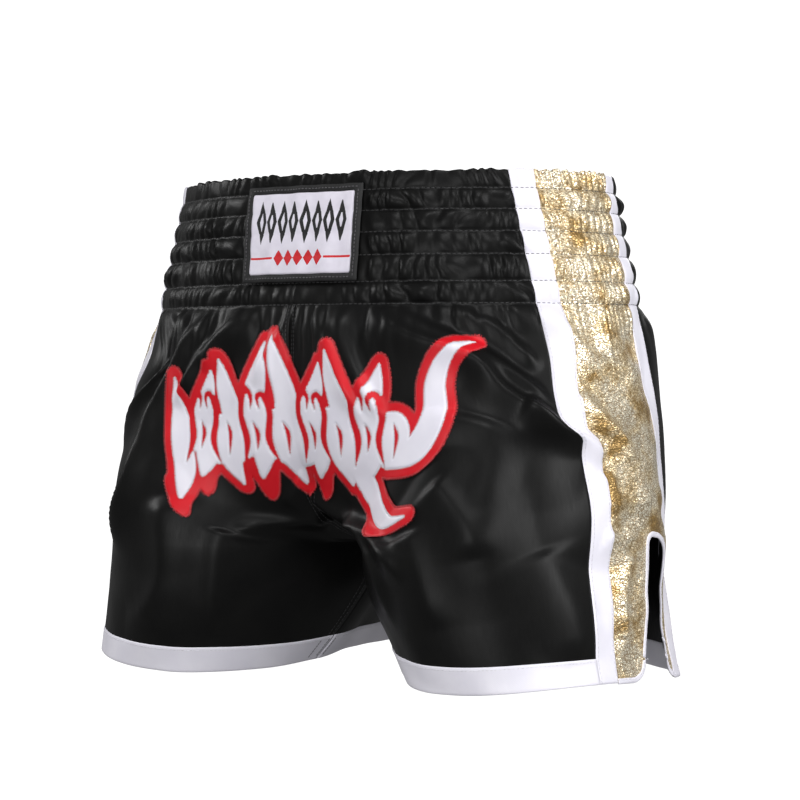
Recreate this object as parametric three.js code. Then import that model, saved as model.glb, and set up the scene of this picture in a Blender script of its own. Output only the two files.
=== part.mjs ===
// Muay Thai style boxing shorts, as worn: two black satin front panels and two back panels, a gold
// side panel with a slit down each side, white tapes and hem bands, and an elastic waistband.
// Millimetres, +Z up, the front faces -Y and the wearer's left is +X.
// The origin is the centre of the waist opening's top edge.
import * as THREE from 'three';

// ---- driving dimensions ----
const HEIGHT = 335;                     // waist edge to hem
const BAND = 88;                        // depth of the elastic waistband
const RISE = 250;                       // waist edge to crotch
const SLIT = 95;                        // height of the side slit
const HEM = 17;                         // hem band and tape are cut from the same bias strip
const TAPE = 16.5;
const GOLD_AT_WAIST = 66;               // gold side panel, gathered at the waist
const GOLD_AT_HEM = 102;
const BINDING = 3;                      // folded edge of the slit
const CHANNELS = 6;                     // stitched rows of the waistband, one elastic in each
const CLOTH = 1.2;                      // every cloth layer, hem folds included
const SEAM = 0.3;                       // gap left where two pieces meet
const FOLD_SWING = 4.5;                 // how far the hem rises and dips round the leg

// Horizontal outlines of the left leg, through the inseam, front, side, back and inseam again.
const CROTCH_OUTLINE = [[0, -10], [28, -80], [86, -127], [150, -120], [192, -76], [204, 0],
  [189, 48], [150, 96], [92, 112], [34, 90], [3, 40]];
const HEM_OUTLINE = [[42, -36], [70, -86], [116, -118], [172, -110], [203, -70], [213, 0],
  [200, 54], [162, 100], [106, 112], [58, 86], [40, 26]];
const SIDE_POINT = 5;                   // which outline point is the side
// Half width, front depth and back depth of the torso at a share of the height.
const TORSO = [[0, 164, 106, 106], [0.1, 171, 110, 108], [BAND / HEIGHT, 184, 117, 113],
  [0.4, 190, 132, 118], [0.6, 195, 146, 124]];
const TORSO_SQUARENESS = 2.15;          // exponent of the torso's superellipse

// Cloth layers, as distances out from the middle of the shell.
const SHELL_LAYER = [-CLOTH / 2, CLOTH / 2];
const BACKING_LAYER = [1.8, 2.6];
const SCROLL_LAYER = [3.2, 4.0];
const ELASTIC_LAYER = [-2.6, -1.4];
const FACING_LAYER = [-4.4, -3.4];
const TAG_LAYER = [-6.2, -5.4];

const CROTCH_V = RISE / HEIGHT;
const BAND_V = BAND / HEIGHT;
const SLIT_V = 1 - SLIT / HEIGHT;
const HEM_V = 1 - HEM / HEIGHT;
const HALF_SEAM = SEAM / 2;
const HALF_SEAM_V = HALF_SEAM / HEIGHT;

// ---- the garment's surface ----
const clamp01 = (t) => Math.min(Math.max(t, 0), 1);
const mix = (a, b, t) => a + (b - a) * t;
const smooth = (t, low = 0, high = 1) => {
  const k = clamp01((t - low) / (high - low));
  return k * k * (3 - 2 * k);
};

// A smooth closed curve through the points, t running 0..1 from the first point.
function outlinePoint(points, t) {
  const n = points.length;
  const place = (((t % 1) + 1) % 1) * n;
  const i = Math.floor(place) % n;
  const f = place - Math.floor(place);
  const [p0, p1, p2, p3] = [n - 1, 0, 1, 2].map((k) => points[(i + k) % n]);
  return [0, 1].map((k) => 0.5 * (2 * p1[k] + (p2[k] - p0[k]) * f
    + (2 * p0[k] - 5 * p1[k] + 4 * p2[k] - p3[k]) * f * f
    + (3 * p1[k] - p0[k] - 3 * p2[k] + p3[k]) * f * f * f));
}

// Column k of TORSO at height share v, by cubic Hermite pieces that end level.
function torsoSize(v, k) {
  const last = TORSO.length - 1;
  if (v >= TORSO[last][0]) return TORSO[last][k];
  let i = 0;
  while (v >= TORSO[i + 1][0]) i += 1;
  const rise = (a, b) => (TORSO[b][k] - TORSO[a][k]) / (TORSO[b][0] - TORSO[a][0]);
  const slope = (j) => (j === last ? 0 : rise(Math.max(j - 1, 0), j + 1));
  const step = TORSO[i + 1][0] - TORSO[i][0];
  const t = (v - TORSO[i][0]) / step;
  return (2 * t ** 3 - 3 * t ** 2 + 1) * TORSO[i][k] + (t ** 3 - 2 * t ** 2 + t) * slope(i) * step
    + (3 * t ** 2 - 2 * t ** 3) * TORSO[i + 1][k] + (t ** 3 - t ** 2) * slope(i + 1) * step;
}

// The left half of the shell. v is the share of the height, 0 at the waist and 1 at the hem.
// u is 1 at the centre front and front of the inseam, 0 at the side, -1 at the centre back.
function surface(u, v) {
  const side = SIDE_POINT / CROTCH_OUTLINE.length;
  const t = u >= 0 ? (1 - u) * side : side - u * (1 - side);
  const swing = -FOLD_SWING * Math.sin(2 * Math.PI * (u - 0.45)) * clamp01(2 * v - 1) ** 2;
  const crotch = outlinePoint(CROTCH_OUTLINE, t);
  if (v >= CROTCH_V) {
    const hem = outlinePoint(HEM_OUTLINE, t);
    const k = ((v - CROTCH_V) / (1 - CROTCH_V)) ** 1.4;
    return [mix(crotch[0], hem[0], k), mix(crotch[1], hem[1], k), -HEIGHT * v + swing];
  }
  const turn = u * Math.PI / 2;
  const power = 2 / TORSO_SQUARENESS;
  const depth = torsoSize(v, u > 0 ? 2 : 3);
  const torso = [torsoSize(v, 1) * Math.abs(Math.cos(turn)) ** power,
    -Math.sign(turn) * depth * Math.abs(Math.sin(turn)) ** power];
  // Near the centre seams the rows follow the quarter turn of the rise down to the crotch.
  const fall = clamp01((v - BAND_V) / (CROTCH_V - BAND_V)) * Math.PI / 2;
  const centre = smooth(Math.abs(u), 0.45, 1);
  const toLeg = mix(smooth(fall / (Math.PI / 2)), 1 - Math.cos(fall), centre);
  const seamV = v > BAND_V ? mix(BAND_V, CROTCH_V, Math.sin(fall)) : v;
  return [Math.max(mix(torso[0], crotch[0], toLeg), 0), mix(torso[1], crotch[1], toLeg),
    -HEIGHT * mix(v, seamV, centre) + swing];
}

// The shell's point moved out along its normal.
function offsetPoint(u, v, out) {
  const step = 1e-3;
  const at = (a, b) => new THREE.Vector3(...surface(a, b));
  const along = at(Math.min(u + step, 1), v).sub(at(Math.max(u - step, -1), v));
  const down = at(u, Math.min(v + step, 1)).sub(at(u, Math.max(v - step, 0)));
  const normal = along.cross(down).normalize();
  const p = at(u, v).addScaledVector(normal, out);
  p.x = Math.max(p.x, HALF_SEAM);
  return p;
}

// Distances round one row: s is 0 at the side, positive towards the front.
const ROW_STEPS = 240;
const rowTables = new Map();
function rowTable(v) {
  if (!rowTables.has(v)) {
    const us = Array.from({ length: ROW_STEPS + 1 }, (_, i) => 1 - 2 * i / ROW_STEPS);
    const points = us.map((u) => new THREE.Vector3(...surface(u, v)));
    const run = [0];
    points.forEach((p, i) => { if (i) run.push(run[i - 1] + p.distanceTo(points[i - 1])); });
    const middle = run[ROW_STEPS / 2];
    rowTables.set(v, { us, s: run.map((r) => middle - r) });
  }
  return rowTables.get(v);
}
function uAt(v, s) {
  const { us, s: run } = rowTable(v);
  let i = 0;
  while (i < ROW_STEPS - 1 && run[i + 1] > s) i += 1;
  return mix(us[i], us[i + 1], clamp01((run[i] - s) / (run[i] - run[i + 1])));
}
const frontEnd = (v) => rowTable(v).s[0];
const backEnd = (v) => rowTable(v).s[ROW_STEPS];

// Where the side panel's middle lies: ahead of the side at the waist, on it at the slit.
const sideLine = (v) => mix(22, -4, smooth(v, 0.36, 0.8));
const goldHalf = (v) => mix(GOLD_AT_WAIST, GOLD_AT_HEM, smooth(v, 0.3, 0.9)) / 2;
const slitHalf = (v) => mix(4, 19, Math.max(v - SLIT_V, 0) / (1 - SLIT_V));

// ---- closed bodies from grids ----
// place(i, j, layer) gives the corner points, keep(i, j) says which cells hold cloth.
function gridBody(columns, rows, place, { keep = () => true, ring = false } = {}) {
  const across = ring ? columns : columns + 1;
  const layers = [0, 1].map((layer) => {
    const points = [];
    for (let j = 0; j <= rows; j += 1) {
      for (let i = 0; i < across; i += 1) points.push(place(i, j, layer));
    }
    return points;
  });
  const count = layers[0].length;
  const vertices = [...layers[0], ...layers[1]];
  const triangles = [];
  const quad = (a, b, c, d) => triangles.push([a, b, c], [a, c, d]);
  const corner = (i, j, layer) => layer * count + j * across + (i % across);
  const filled = (i, j) => {
    if (j < 0 || j >= rows) return false;
    if (ring) return keep((i + columns) % columns, j);
    return i >= 0 && i < columns && keep(i, j);
  };
  for (let j = 0; j < rows; j += 1) {
    for (let i = 0; i < columns; i += 1) {
      if (!filled(i, j)) continue;
      const [a, b, c, d] = [[i, j], [i + 1, j], [i + 1, j + 1], [i, j + 1]];
      quad(corner(...a, 1), corner(...d, 1), corner(...c, 1), corner(...b, 1));
      quad(corner(...a, 0), corner(...b, 0), corner(...c, 0), corner(...d, 0));
      const wall = (p, q) => quad(corner(...p, 0), corner(...p, 1), corner(...q, 1), corner(...q, 0));
      if (!filled(i, j - 1)) wall(a, b);
      if (!filled(i + 1, j)) wall(b, c);
      if (!filled(i, j + 1)) wall(c, d);
      if (!filled(i - 1, j)) wall(d, a);
    }
  }
  return bodyFrom(vertices, triangles);
}

// A body whose faces point out, whichever way the grid ran.
function bodyFrom(vertices, triangles) {
  let volume = 0;
  triangles.forEach(([a, b, c]) => {
    volume += vertices[a].dot(new THREE.Vector3().crossVectors(vertices[b], vertices[c]));
  });
  const geometry = new THREE.BufferGeometry();
  const order = volume > 0 ? triangles : triangles.map(([a, b, c]) => [a, c, b]);
  const corners = order.flat().flatMap((k) => vertices[k].toArray());
  geometry.setAttribute('position', new THREE.Float32BufferAttribute(corners, 3));
  geometry.computeVertexNormals();
  return geometry;
}

function mirrored(point, side) {
  return new THREE.Vector3(point.x * side, point.y, point.z);
}

// ---- rows shared by every piece, so that neighbours meet edge to edge ----
const UPPER_ROWS = [0, BAND_V / 3, BAND_V * 2 / 3, BAND_V, 0.33, 0.4, 0.47, 0.54, 0.6, 0.65, 0.69,
  SLIT_V, CROTCH_V - 0.008, CROTCH_V];
const LEG_ROWS = [...UPPER_ROWS, 0.79, 0.84, 0.895];
const BODY_ROWS = [...LEG_ROWS, HEM_V - HALF_SEAM_V];
const FULL_ROWS = [...LEG_ROWS, HEM_V, 1];
const HEM_ROWS = [HEM_V + HALF_SEAM_V, 1];

// A strip between two lines s = left(v) and s = right(v), with a seam gap along both.
function strip(side, rows, columns, left, right, options = {}) {
  const place = (i, j, layer) => {
    const v = rows[j];
    const s = mix(left(v) - HALF_SEAM, right(v) + HALF_SEAM, i / columns);
    return mirrored(offsetPoint(uAt(v, s), v, SHELL_LAYER[layer]), side);
  };
  return gridBody(columns, rows.length - 1, place, options);
}

const goldFront = (v) => sideLine(v) + goldHalf(v);
const goldBack = (v) => sideLine(v) - goldHalf(v);
const tapeFront = (v) => goldFront(v) + TAPE;
const tapeBack = (v) => goldBack(v) - TAPE;

// The side panel: columns for the front flap, one for the slit and its binding, the back flap.
function sidePanel(side) {
  const flap = 4;
  const middle = (v) => slitHalf(v) + BINDING + HALF_SEAM;
  const place = (i, j, layer) => {
    const v = FULL_ROWS[j];
    const front = mix(goldFront(v) - HALF_SEAM, sideLine(v) + middle(v), i / flap);
    const back = mix(sideLine(v) - middle(v), goldBack(v) + HALF_SEAM, (i - flap - 1) / flap);
    const s = i <= flap ? front : back;
    return mirrored(offsetPoint(uAt(v, s), v, SHELL_LAYER[layer]), side);
  };
  const keep = (i, j) => i !== flap || FULL_ROWS[j] < SLIT_V - 1e-9;
  return gridBody(2 * flap + 1, FULL_ROWS.length - 1, place, { keep });
}

// The slit's folded edge, an arch one binding wide.
function slitBinding(side) {
  const top = SLIT_V + SEAM / HEIGHT;
  const rows = [top, top + BINDING / HEIGHT, ...FULL_ROWS.filter((v) => v > top + 2 * BINDING / HEIGHT)];
  const place = (i, j, layer) => {
    const v = rows[j];
    const reach = [slitHalf(v) + BINDING, slitHalf(v), -slitHalf(v), -slitHalf(v) - BINDING][i];
    return mirrored(offsetPoint(uAt(v, sideLine(v) + reach), v, SHELL_LAYER[layer]), side);
  };
  return gridBody(3, rows.length - 1, place, { keep: (i, j) => j === 0 || i !== 1 });
}

// A closed ring inside the waistband between two heights.
function waistRing(low, high, layer, rows) {
  const half = 24;
  const place = (i, j, k) => {
    const right = i > half;
    const u = right ? 1 - 2 * (2 * half - i) / half : 1 - 2 * i / half;
    const v = mix(high, low, j / rows);
    const point = offsetPoint(u, v, layer[k]);
    if (Math.abs(u) > 1 - 1e-9) point.x = 0;
    return mirrored(point, right ? -1 : 1);
  };
  return gridBody(2 * half, rows, place, { ring: true });
}

// ---- pieces laid on the front: d is the distance from the centre front, z the height ----
const FRONT_STEPS = 60;
const levelTables = new Map();
function levelTable(z) {
  const key = z.toFixed(3);
  if (!levelTables.has(key)) {
    const entries = [];
    let run = 0;
    let previous = null;
    for (let i = 0; i <= FRONT_STEPS; i += 1) {
      const u = 1 - 0.9 * i / FRONT_STEPS;
      let low = 0;
      let high = CROTCH_V;
      for (let k = 0; k < 40; k += 1) {
        const middle = (low + high) / 2;
        if (surface(u, middle)[2] > z) low = middle;
        else high = middle;
      }
      const point = new THREE.Vector3(...surface(u, low));
      if (previous) run += point.distanceTo(previous);
      previous = point;
      entries.push({ run, u, v: low });
    }
    levelTables.set(key, entries);
  }
  return levelTables.get(key);
}
function frontPoint(d, z, out) {
  const entries = levelTable(z);
  const reach = Math.abs(d);
  let i = 0;
  while (i < FRONT_STEPS - 1 && entries[i + 1].run < reach) i += 1;
  const [a, b] = [entries[i], entries[i + 1]];
  const t = clamp01((reach - a.run) / (b.run - a.run));
  const point = offsetPoint(mix(a.u, b.u, t), mix(a.v, b.v, t), out);
  if (reach < 1e-6) point.x = 0;
  return mirrored(point, d < 0 ? -1 : 1);
}

const LABEL = { width: 88, height: 54, border: 6, centre: 3, top: 12.5, columns: 10, rows: 4 };
function labelFace() {
  const place = (i, j, k) => frontPoint(LABEL.centre + LABEL.width * (i / LABEL.columns - 0.5),
    -LABEL.top - LABEL.height * j / LABEL.rows, BACKING_LAYER[k]);
  return gridBody(LABEL.columns, LABEL.rows, place);
}
function labelBorder() {
  const across = Array.from({ length: LABEL.columns + 3 }, (_, i) => i - 1);
  const down = Array.from({ length: LABEL.rows + 3 }, (_, j) => j - 1);
  const spread = (k, cells, size) => {
    const edge = size / 2 + SEAM;
    if (k < 0) return -edge - LABEL.border;
    if (k > cells) return edge + LABEL.border;
    return mix(-edge, edge, k / cells);
  };
  const middle = -LABEL.top - LABEL.height / 2;
  const place = (i, j, k) => frontPoint(
    LABEL.centre + spread(across[i], LABEL.columns, LABEL.width),
    middle - spread(down[j], LABEL.rows, LABEL.height), BACKING_LAYER[k]);
  const keep = (i, j) => i === 0 || j === 0 || i === across.length - 2 || j === down.length - 2;
  return gridBody(across.length - 1, down.length - 1, place, { keep });
}

// The front badge: abstract flame scrolls, no lettering. Its middle and reach on the front,
// and how far its edge stands from the middle line and waves above and below it.
const BADGE = { centre: 12, half: 124, middle: -153, reach: 42, crestWave: 10, footWave: 5 };
function badgeBacking() {
  const columns = 32;
  const rows = 6;
  const place = (i, j, k) => {
    const t = 2 * i / columns - 1;
    const crest = BADGE.reach + BADGE.crestWave * Math.cos(2.2 * Math.PI * t) - 14 * t ** 4 + 4 * t;
    const foot = BADGE.reach - BADGE.footWave * Math.cos(2.5 * Math.PI * t) - 10 * t ** 4;
    const z = BADGE.middle + mix(crest, -foot, j / rows);
    return frontPoint(BADGE.centre + BADGE.half * t, z, BACKING_LAYER[k]);
  };
  return gridBody(columns, rows, place);
}

// One white scroll: a tapering ribbon swept along an S that leans with the flames.
const SCROLLS = 7;
const SCROLL = { half: 30, bend: 9, tip: 2.5, swell: 8.5 };
function badgeScroll(index) {
  const length = 14;
  const middle = BADGE.centre + BADGE.half * 0.82 * (2 * (index + 0.5) / SCROLLS - 1);
  const place = (i, j, k) => {
    const t = i / length;
    const width = SCROLL.tip + SCROLL.swell * Math.sin(Math.PI * clamp01(0.12 + 0.8 * t));
    const sway = SCROLL.bend * Math.sin(2 * Math.PI * t) * (index % 2 ? -1 : 1);
    const z = BADGE.middle + mix(SCROLL.half, -SCROLL.half, t);
    return frontPoint(middle + sway + width * (j - 0.5), z, SCROLL_LAYER[k]);
  };
  return gridBody(length, 1, place);
}

// A folded care tag, blank, hanging inside the back of the waistband.
const TAG = { width: 24, height: 46, top: 14 };
function careTag() {
  const place = (i, j, k) => {
    const d = TAG.width * (i / 2 - 0.5);
    const v = (TAG.top + TAG.height * j / 3) / HEIGHT;
    const s = backEnd(v) + Math.abs(d);
    const point = offsetPoint(uAt(v, s), v, TAG_LAYER[k]);
    if (i === 1) point.x = 0;
    return mirrored(point, i < 1 ? -1 : 1);
  };
  return gridBody(2, 3, place);
}

// ---- materials ----
const cloth = (color, roughness, metalness = 0) => new THREE.MeshStandardMaterial({
  color, roughness, metalness });
const BLACK_SATIN = cloth(0x141416, 0.38);
const GOLD_LAME = cloth(0xcfa85a, 0.3, 0.8);
const WHITE_SATIN = cloth(0xe9e7ef, 0.45);
const RED_SATIN = cloth(0xc4161c, 0.45);
const WOVEN_WHITE = cloth(0xf1f0f2, 0.8);
const WOVEN_BLACK = cloth(0x17171a, 0.8);
const ELASTIC = cloth(0xd8d6d2, 0.85);

// ---- assembly ----
const shorts = new THREE.Group();
shorts.name = 'shorts';
function add(name, geometry, material) {
  const mesh = new THREE.Mesh(geometry, material);
  mesh.name = name;
  shorts.add(mesh);
}

[['left', 1], ['right', -1]].forEach(([hand, side]) => {
  const panelColumns = 14;
  add(`front_panel_${hand}`, strip(side, BODY_ROWS, panelColumns, frontEnd, tapeFront), BLACK_SATIN);
  add(`back_panel_${hand}`, strip(side, BODY_ROWS, panelColumns, tapeBack, backEnd), BLACK_SATIN);
  add(`side_panel_${hand}`, sidePanel(side), GOLD_LAME);
  add(`front_tape_${hand}`, strip(side, FULL_ROWS, 1, tapeFront, goldFront), WHITE_SATIN);
  add(`back_tape_${hand}`, strip(side, FULL_ROWS, 1, goldBack, tapeBack), WHITE_SATIN);
  add(`front_hem_band_${hand}`, strip(side, HEM_ROWS, panelColumns, frontEnd, tapeFront), WHITE_SATIN);
  add(`back_hem_band_${hand}`, strip(side, HEM_ROWS, panelColumns, tapeBack, backEnd), WHITE_SATIN);
  add(`slit_binding_${hand}`, slitBinding(side), WHITE_SATIN);
});

const CHANNEL_MARGIN = 0.14;              // share of a channel left free at each edge of its elastic
for (let k = 0; k < CHANNELS; k += 1) {
  const high = BAND_V * (k + CHANNEL_MARGIN) / CHANNELS;
  const low = BAND_V * (k + 1 - CHANNEL_MARGIN) / CHANNELS;
  add(`waist_elastic_${k + 1}`, waistRing(low, high, ELASTIC_LAYER, 1), ELASTIC);
}
add('waist_facing', waistRing(BAND_V, 0, FACING_LAYER, 3), BLACK_SATIN);
add('care_tag', careTag(), WOVEN_WHITE);
add('label_face', labelFace(), WOVEN_WHITE);
add('label_border', labelBorder(), WOVEN_BLACK);
add('badge_backing', badgeBacking(), RED_SATIN);
for (let k = 0; k < SCROLLS; k += 1) add(`badge_scroll_${k + 1}`, badgeScroll(k), WHITE_SATIN);

export default shorts;
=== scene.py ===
"""Muay Thai style boxing shorts: satin, gold lame, gathers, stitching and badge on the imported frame.

Lengths are millimetres until a mesh is made. +Z up, the front faces -Y, the wearer's left is +X.
Each half of the garment is two grids of points, one from the centre front to the side line and one
from the side line to the centre back. Rows run round the body and columns run down it.
"""

import math

import bpy
import numpy as np
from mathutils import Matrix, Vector


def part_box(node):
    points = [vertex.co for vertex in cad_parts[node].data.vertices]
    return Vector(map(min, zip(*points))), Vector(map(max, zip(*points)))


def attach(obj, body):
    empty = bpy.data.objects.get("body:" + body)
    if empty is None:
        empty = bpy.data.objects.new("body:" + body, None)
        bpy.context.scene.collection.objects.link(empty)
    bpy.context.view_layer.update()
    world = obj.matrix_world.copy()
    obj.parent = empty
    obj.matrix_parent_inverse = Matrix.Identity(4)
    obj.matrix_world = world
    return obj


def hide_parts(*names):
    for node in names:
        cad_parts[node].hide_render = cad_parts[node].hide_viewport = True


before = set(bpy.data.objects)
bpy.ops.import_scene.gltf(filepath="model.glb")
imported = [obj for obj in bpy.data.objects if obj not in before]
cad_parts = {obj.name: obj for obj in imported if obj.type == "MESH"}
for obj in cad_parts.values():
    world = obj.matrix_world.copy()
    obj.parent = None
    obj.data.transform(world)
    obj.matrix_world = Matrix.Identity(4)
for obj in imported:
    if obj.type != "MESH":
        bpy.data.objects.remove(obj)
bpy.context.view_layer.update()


# ---- driving dimensions ----
HEIGHT, BAND, RISE, SLIT, HEM, TAPE = 335.0, 88.0, 250.0, 95.0, 17.0, 16.5
GOLD_AT_WAIST, GOLD_AT_HEM = 66.0, 102.0
FOLD_SWING = 4.5
SIDE_REACH = 213.33  # how far the side panel stands from the middle
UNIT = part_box("side_panel_left")[1].x / SIDE_REACH  # metres to a millimetre
CROTCH_OUTLINE = [(0, -10), (28, -80), (86, -127), (150, -120), (192, -76), (204, 0),
                  (189, 48), (150, 96), (92, 112), (34, 90), (3, 40)]
HEM_OUTLINE = [(42, -36), (70, -86), (116, -118), (172, -110), (203, -70), (213, 0),
               (200, 54), (162, 100), (106, 112), (58, 86), (40, 26)]
SIDE = 5 / 11  # share of an outline from the inseam to the side, going by the front
TORSO = np.array([(0, 164, 106, 106), (0.1, 171, 110, 108), (BAND / HEIGHT, 184, 117, 113),
                  (0.4, 190, 132, 118), (0.6, 195, 146, 124)])
SQUARENESS = 2.15
CROTCH_V, BAND_V, SLIT_V, HEM_V = RISE / HEIGHT, BAND / HEIGHT, 1 - SLIT / HEIGHT, 1 - HEM / HEIGHT

STITCH_ROWS = [0, 11, 26, 41, 56, 73.5, 88]  # depths of the waistband's rows of stitches
CHANNEL_STEPS = [8, 11, 11, 11, 13, 12]  # grid rows in each channel
COARSE = 3  # the simulated grid takes every third row and column
BODY_STEPS = [(BAND_V, SLIT_V, 25), (SLIT_V, CROTCH_V, 2), (CROTCH_V, HEM_V, 12), (HEM_V, 1, 3)]
FRONT_COLUMNS = (102, 12, 42)  # black panel, tape, gold
BACK_COLUMNS = (42, 12, 120)
TURN_STEPS, TURN_RADIUS = 6, 1.2  # the top edge turns over to the inside
WAVE_AT_TOP = 1.8  # how far the top edge rises and falls with its gathers
CORNER_RADIUS = 15.0  # of the flaps' lower corners beside the slit
FRONT_GAP, BACK_GAP = (5, 18, 7), (22, 42, 18)  # half widths of the slit, high and low, and its arch
SATIN_PITCH, GOLD_PITCH = 10.5, 7.0  # from one gather to the next
BAND_STITCH_PITCH = 3.4
SEED = 7


# ---- shapes of the garment ----
def mix(a, b, t):
    return a + (b - a) * t


def smooth(t, low=0.0, high=1.0):
    """Rises smoothly from 0 at low to 1 at high, whichever is the greater."""
    k = np.clip((t - low) / (high - low), 0, 1)
    return k * k * (3 - 2 * k)


def spline(a, b, c, d, f):
    """A smooth curve from b to c as f runs 0..1, with a and d the points before and after."""
    return 0.5 * (2 * b + (c - a) * f + (2 * a - 5 * b + 4 * c - d) * f**2
                  + (3 * b - a - 3 * c + d) * f**3)


def unit(v):
    return v / np.maximum(np.linalg.norm(v, axis=-1, keepdims=True), 1e-9)


def run_along(line):
    """The distance along a line of points, 0 at its start."""
    return np.concatenate([[0], np.cumsum(np.linalg.norm(np.diff(line, axis=0), axis=1))])


def outline(points, t):
    """A smooth closed curve through the points, t running 0..1 from the first."""
    p = np.array(points, float)
    n = len(p)
    place = (t % 1.0) * n
    i = np.floor(place).astype(int) % n
    f = (place - np.floor(place))[..., None]
    return spline(p[(i - 1) % n], p[i], p[(i + 1) % n], p[(i + 2) % n], f)


def torso(v, k):
    """Column k of TORSO at height share v, by cubic Hermite pieces that end level."""
    x, y = TORSO[:, 0], TORSO[:, k]
    slope = np.zeros(len(x))
    slope[0] = (y[1] - y[0]) / (x[1] - x[0])
    slope[1:-1] = (y[2:] - y[:-2]) / (x[2:] - x[:-2])
    v = np.minimum(v, x[-1])
    i = np.clip(np.searchsorted(x, v, side="right") - 1, 0, len(x) - 2)
    h = x[i + 1] - x[i]
    t = (v - x[i]) / h
    return ((2 * t**3 - 3 * t**2 + 1) * y[i] + (t**3 - 2 * t**2 + t) * slope[i] * h
            + (3 * t**2 - 2 * t**3) * y[i + 1] + (t**3 - t**2) * slope[i + 1] * h)


def surface(u, v):
    """The left half of the plain garment. v is 0 at the waist and 1 at the hem.
    u is 1 at the centre front and front of the inseam, 0 at the side, -1 at the centre back."""
    u, v = np.broadcast_arrays(np.asarray(u, float), np.asarray(v, float))
    t = np.where(u >= 0, (1 - u) * SIDE, SIDE - u * (1 - SIDE))
    swing = -FOLD_SWING * np.sin(2 * np.pi * (u - 0.45)) * np.clip(2 * v - 1, 0, 1) ** 2
    crotch = outline(CROTCH_OUTLINE, t)
    low = np.clip((v - CROTCH_V) / (1 - CROTCH_V), 0, 1)[..., None] ** 1.4
    leg = mix(crotch, outline(HEM_OUTLINE, t), low)
    turn = u * np.pi / 2
    power = 2 / SQUARENESS
    x = torso(v, 1) * np.abs(np.cos(turn)) ** power
    y = -np.sign(turn) * np.where(u > 0, torso(v, 2), torso(v, 3)) * np.abs(np.sin(turn)) ** power
    fall = np.clip((v - BAND_V) / (CROTCH_V - BAND_V), 0, 1) * np.pi / 2
    centre = smooth(np.abs(u), 0.45, 1)
    share = mix(smooth(fall / (np.pi / 2)), 1 - np.cos(fall), centre)
    seam = np.where(v > BAND_V, mix(BAND_V, CROTCH_V, np.sin(fall)), v)
    above = v < CROTCH_V
    return np.stack([
        np.where(above, np.maximum(mix(x, crotch[..., 0], share), 0), leg[..., 0]),
        np.where(above, mix(y, crotch[..., 1], share), leg[..., 1]),
        -HEIGHT * np.where(above, mix(v, seam, centre), v) + swing], -1)


def side_line(v):
    return mix(22, -4, smooth(v, 0.36, 0.8))


def gold_half(v):
    return mix(GOLD_AT_WAIST, GOLD_AT_HEM, smooth(v, 0.3, 0.9)) / 2


def slit_gap(v, narrow, wide, arch):
    """How far one edge of the slit stands from the side line, with an arch at its top."""
    below = np.maximum(v - SLIT_V, 0) * HEIGHT
    return mix(narrow, wide, below / SLIT) * np.sqrt(1 - (1 - np.clip(below / arch, 0, 1)) ** 2)


# ---- the rows and columns of the grids ----
channel_rows = [np.linspace(a, b, n, endpoint=False) / HEIGHT
                for a, b, n in zip(STITCH_ROWS[:-1], STITCH_ROWS[1:], CHANNEL_STEPS)]
body_rows = [np.linspace(a, b, n * COARSE, endpoint=False) for a, b, n in BODY_STEPS]
ROWS = np.concatenate([*channel_rows, *body_rows, [1.0]])
BAND_ROW = sum(CHANNEL_STEPS)
SLIT_ROW = BAND_ROW + BODY_STEPS[0][2] * COARSE
CROTCH_ROW = SLIT_ROW + BODY_STEPS[1][2] * COARSE
HEM_ROW = CROTCH_ROW + BODY_STEPS[2][2] * COARSE
LAST_ROW = len(ROWS) - 1


def spread(marks, counts):
    """Columns between the marks of one row, with that many steps in each space."""
    parts = [np.linspace(a, b, n, endpoint=False) for a, b, n in zip(marks[:-1], marks[1:], counts)]
    return np.concatenate([*parts, [marks[-1]]])


def build_rows():
    """For the front and back grids: u, s (the distance round the row from the side) and v."""
    fine = np.linspace(1, -1, 481)
    found = {"front": [], "back": []}
    for v in ROWS:
        run = run_along(surface(fine, v))
        s = run[240] - run
        line, half = side_line(v), gold_half(v)
        gap, back_gap = slit_gap(v, *FRONT_GAP), slit_gap(v, *BACK_GAP)
        front = spread([s[0], line + half + TAPE, line + half, line + gap], FRONT_COLUMNS)
        back = spread([line - back_gap, line - half, line - half - TAPE, s[-1]], BACK_COLUMNS)
        for name, columns in (("front", front), ("back", back)):
            found[name].append((np.interp(-columns, -s, fine), columns, np.full(len(columns), v)))
    return {name: [np.array(x) for x in zip(*rows)] for name, rows in found.items()}


def rounded_corner(part, s, v):
    """The flaps' lower corners beside the slit are rounded off."""
    edge = s[:, -1:] if part == "front" else s[:, :1]
    away = np.clip(CORNER_RADIUS - np.abs(s - edge), 0, CORNER_RADIUS)
    lift = CORNER_RADIUS - np.sqrt(CORNER_RADIUS**2 - away**2)
    return v - lift / HEIGHT * smooth(v, 0.86, 1)


grids = {}
for part, (u, s, v) in build_rows().items():
    v = rounded_corner(part, s, v)
    grids[part] = {"u": u, "s": s, "v": v, "depth": v * HEIGHT, "base": surface(u, v)}
waist_front = float(grids["front"]["s"][0, 0])
waist_back = -float(grids["back"]["s"][0, -1])
HALF_RING = waist_front + waist_back
for part, g in grids.items():
    # where a column starts at the waist, measured round from the centre front
    g["ring"] = np.broadcast_to(waist_front - g["s"][:1], g["s"].shape)


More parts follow.
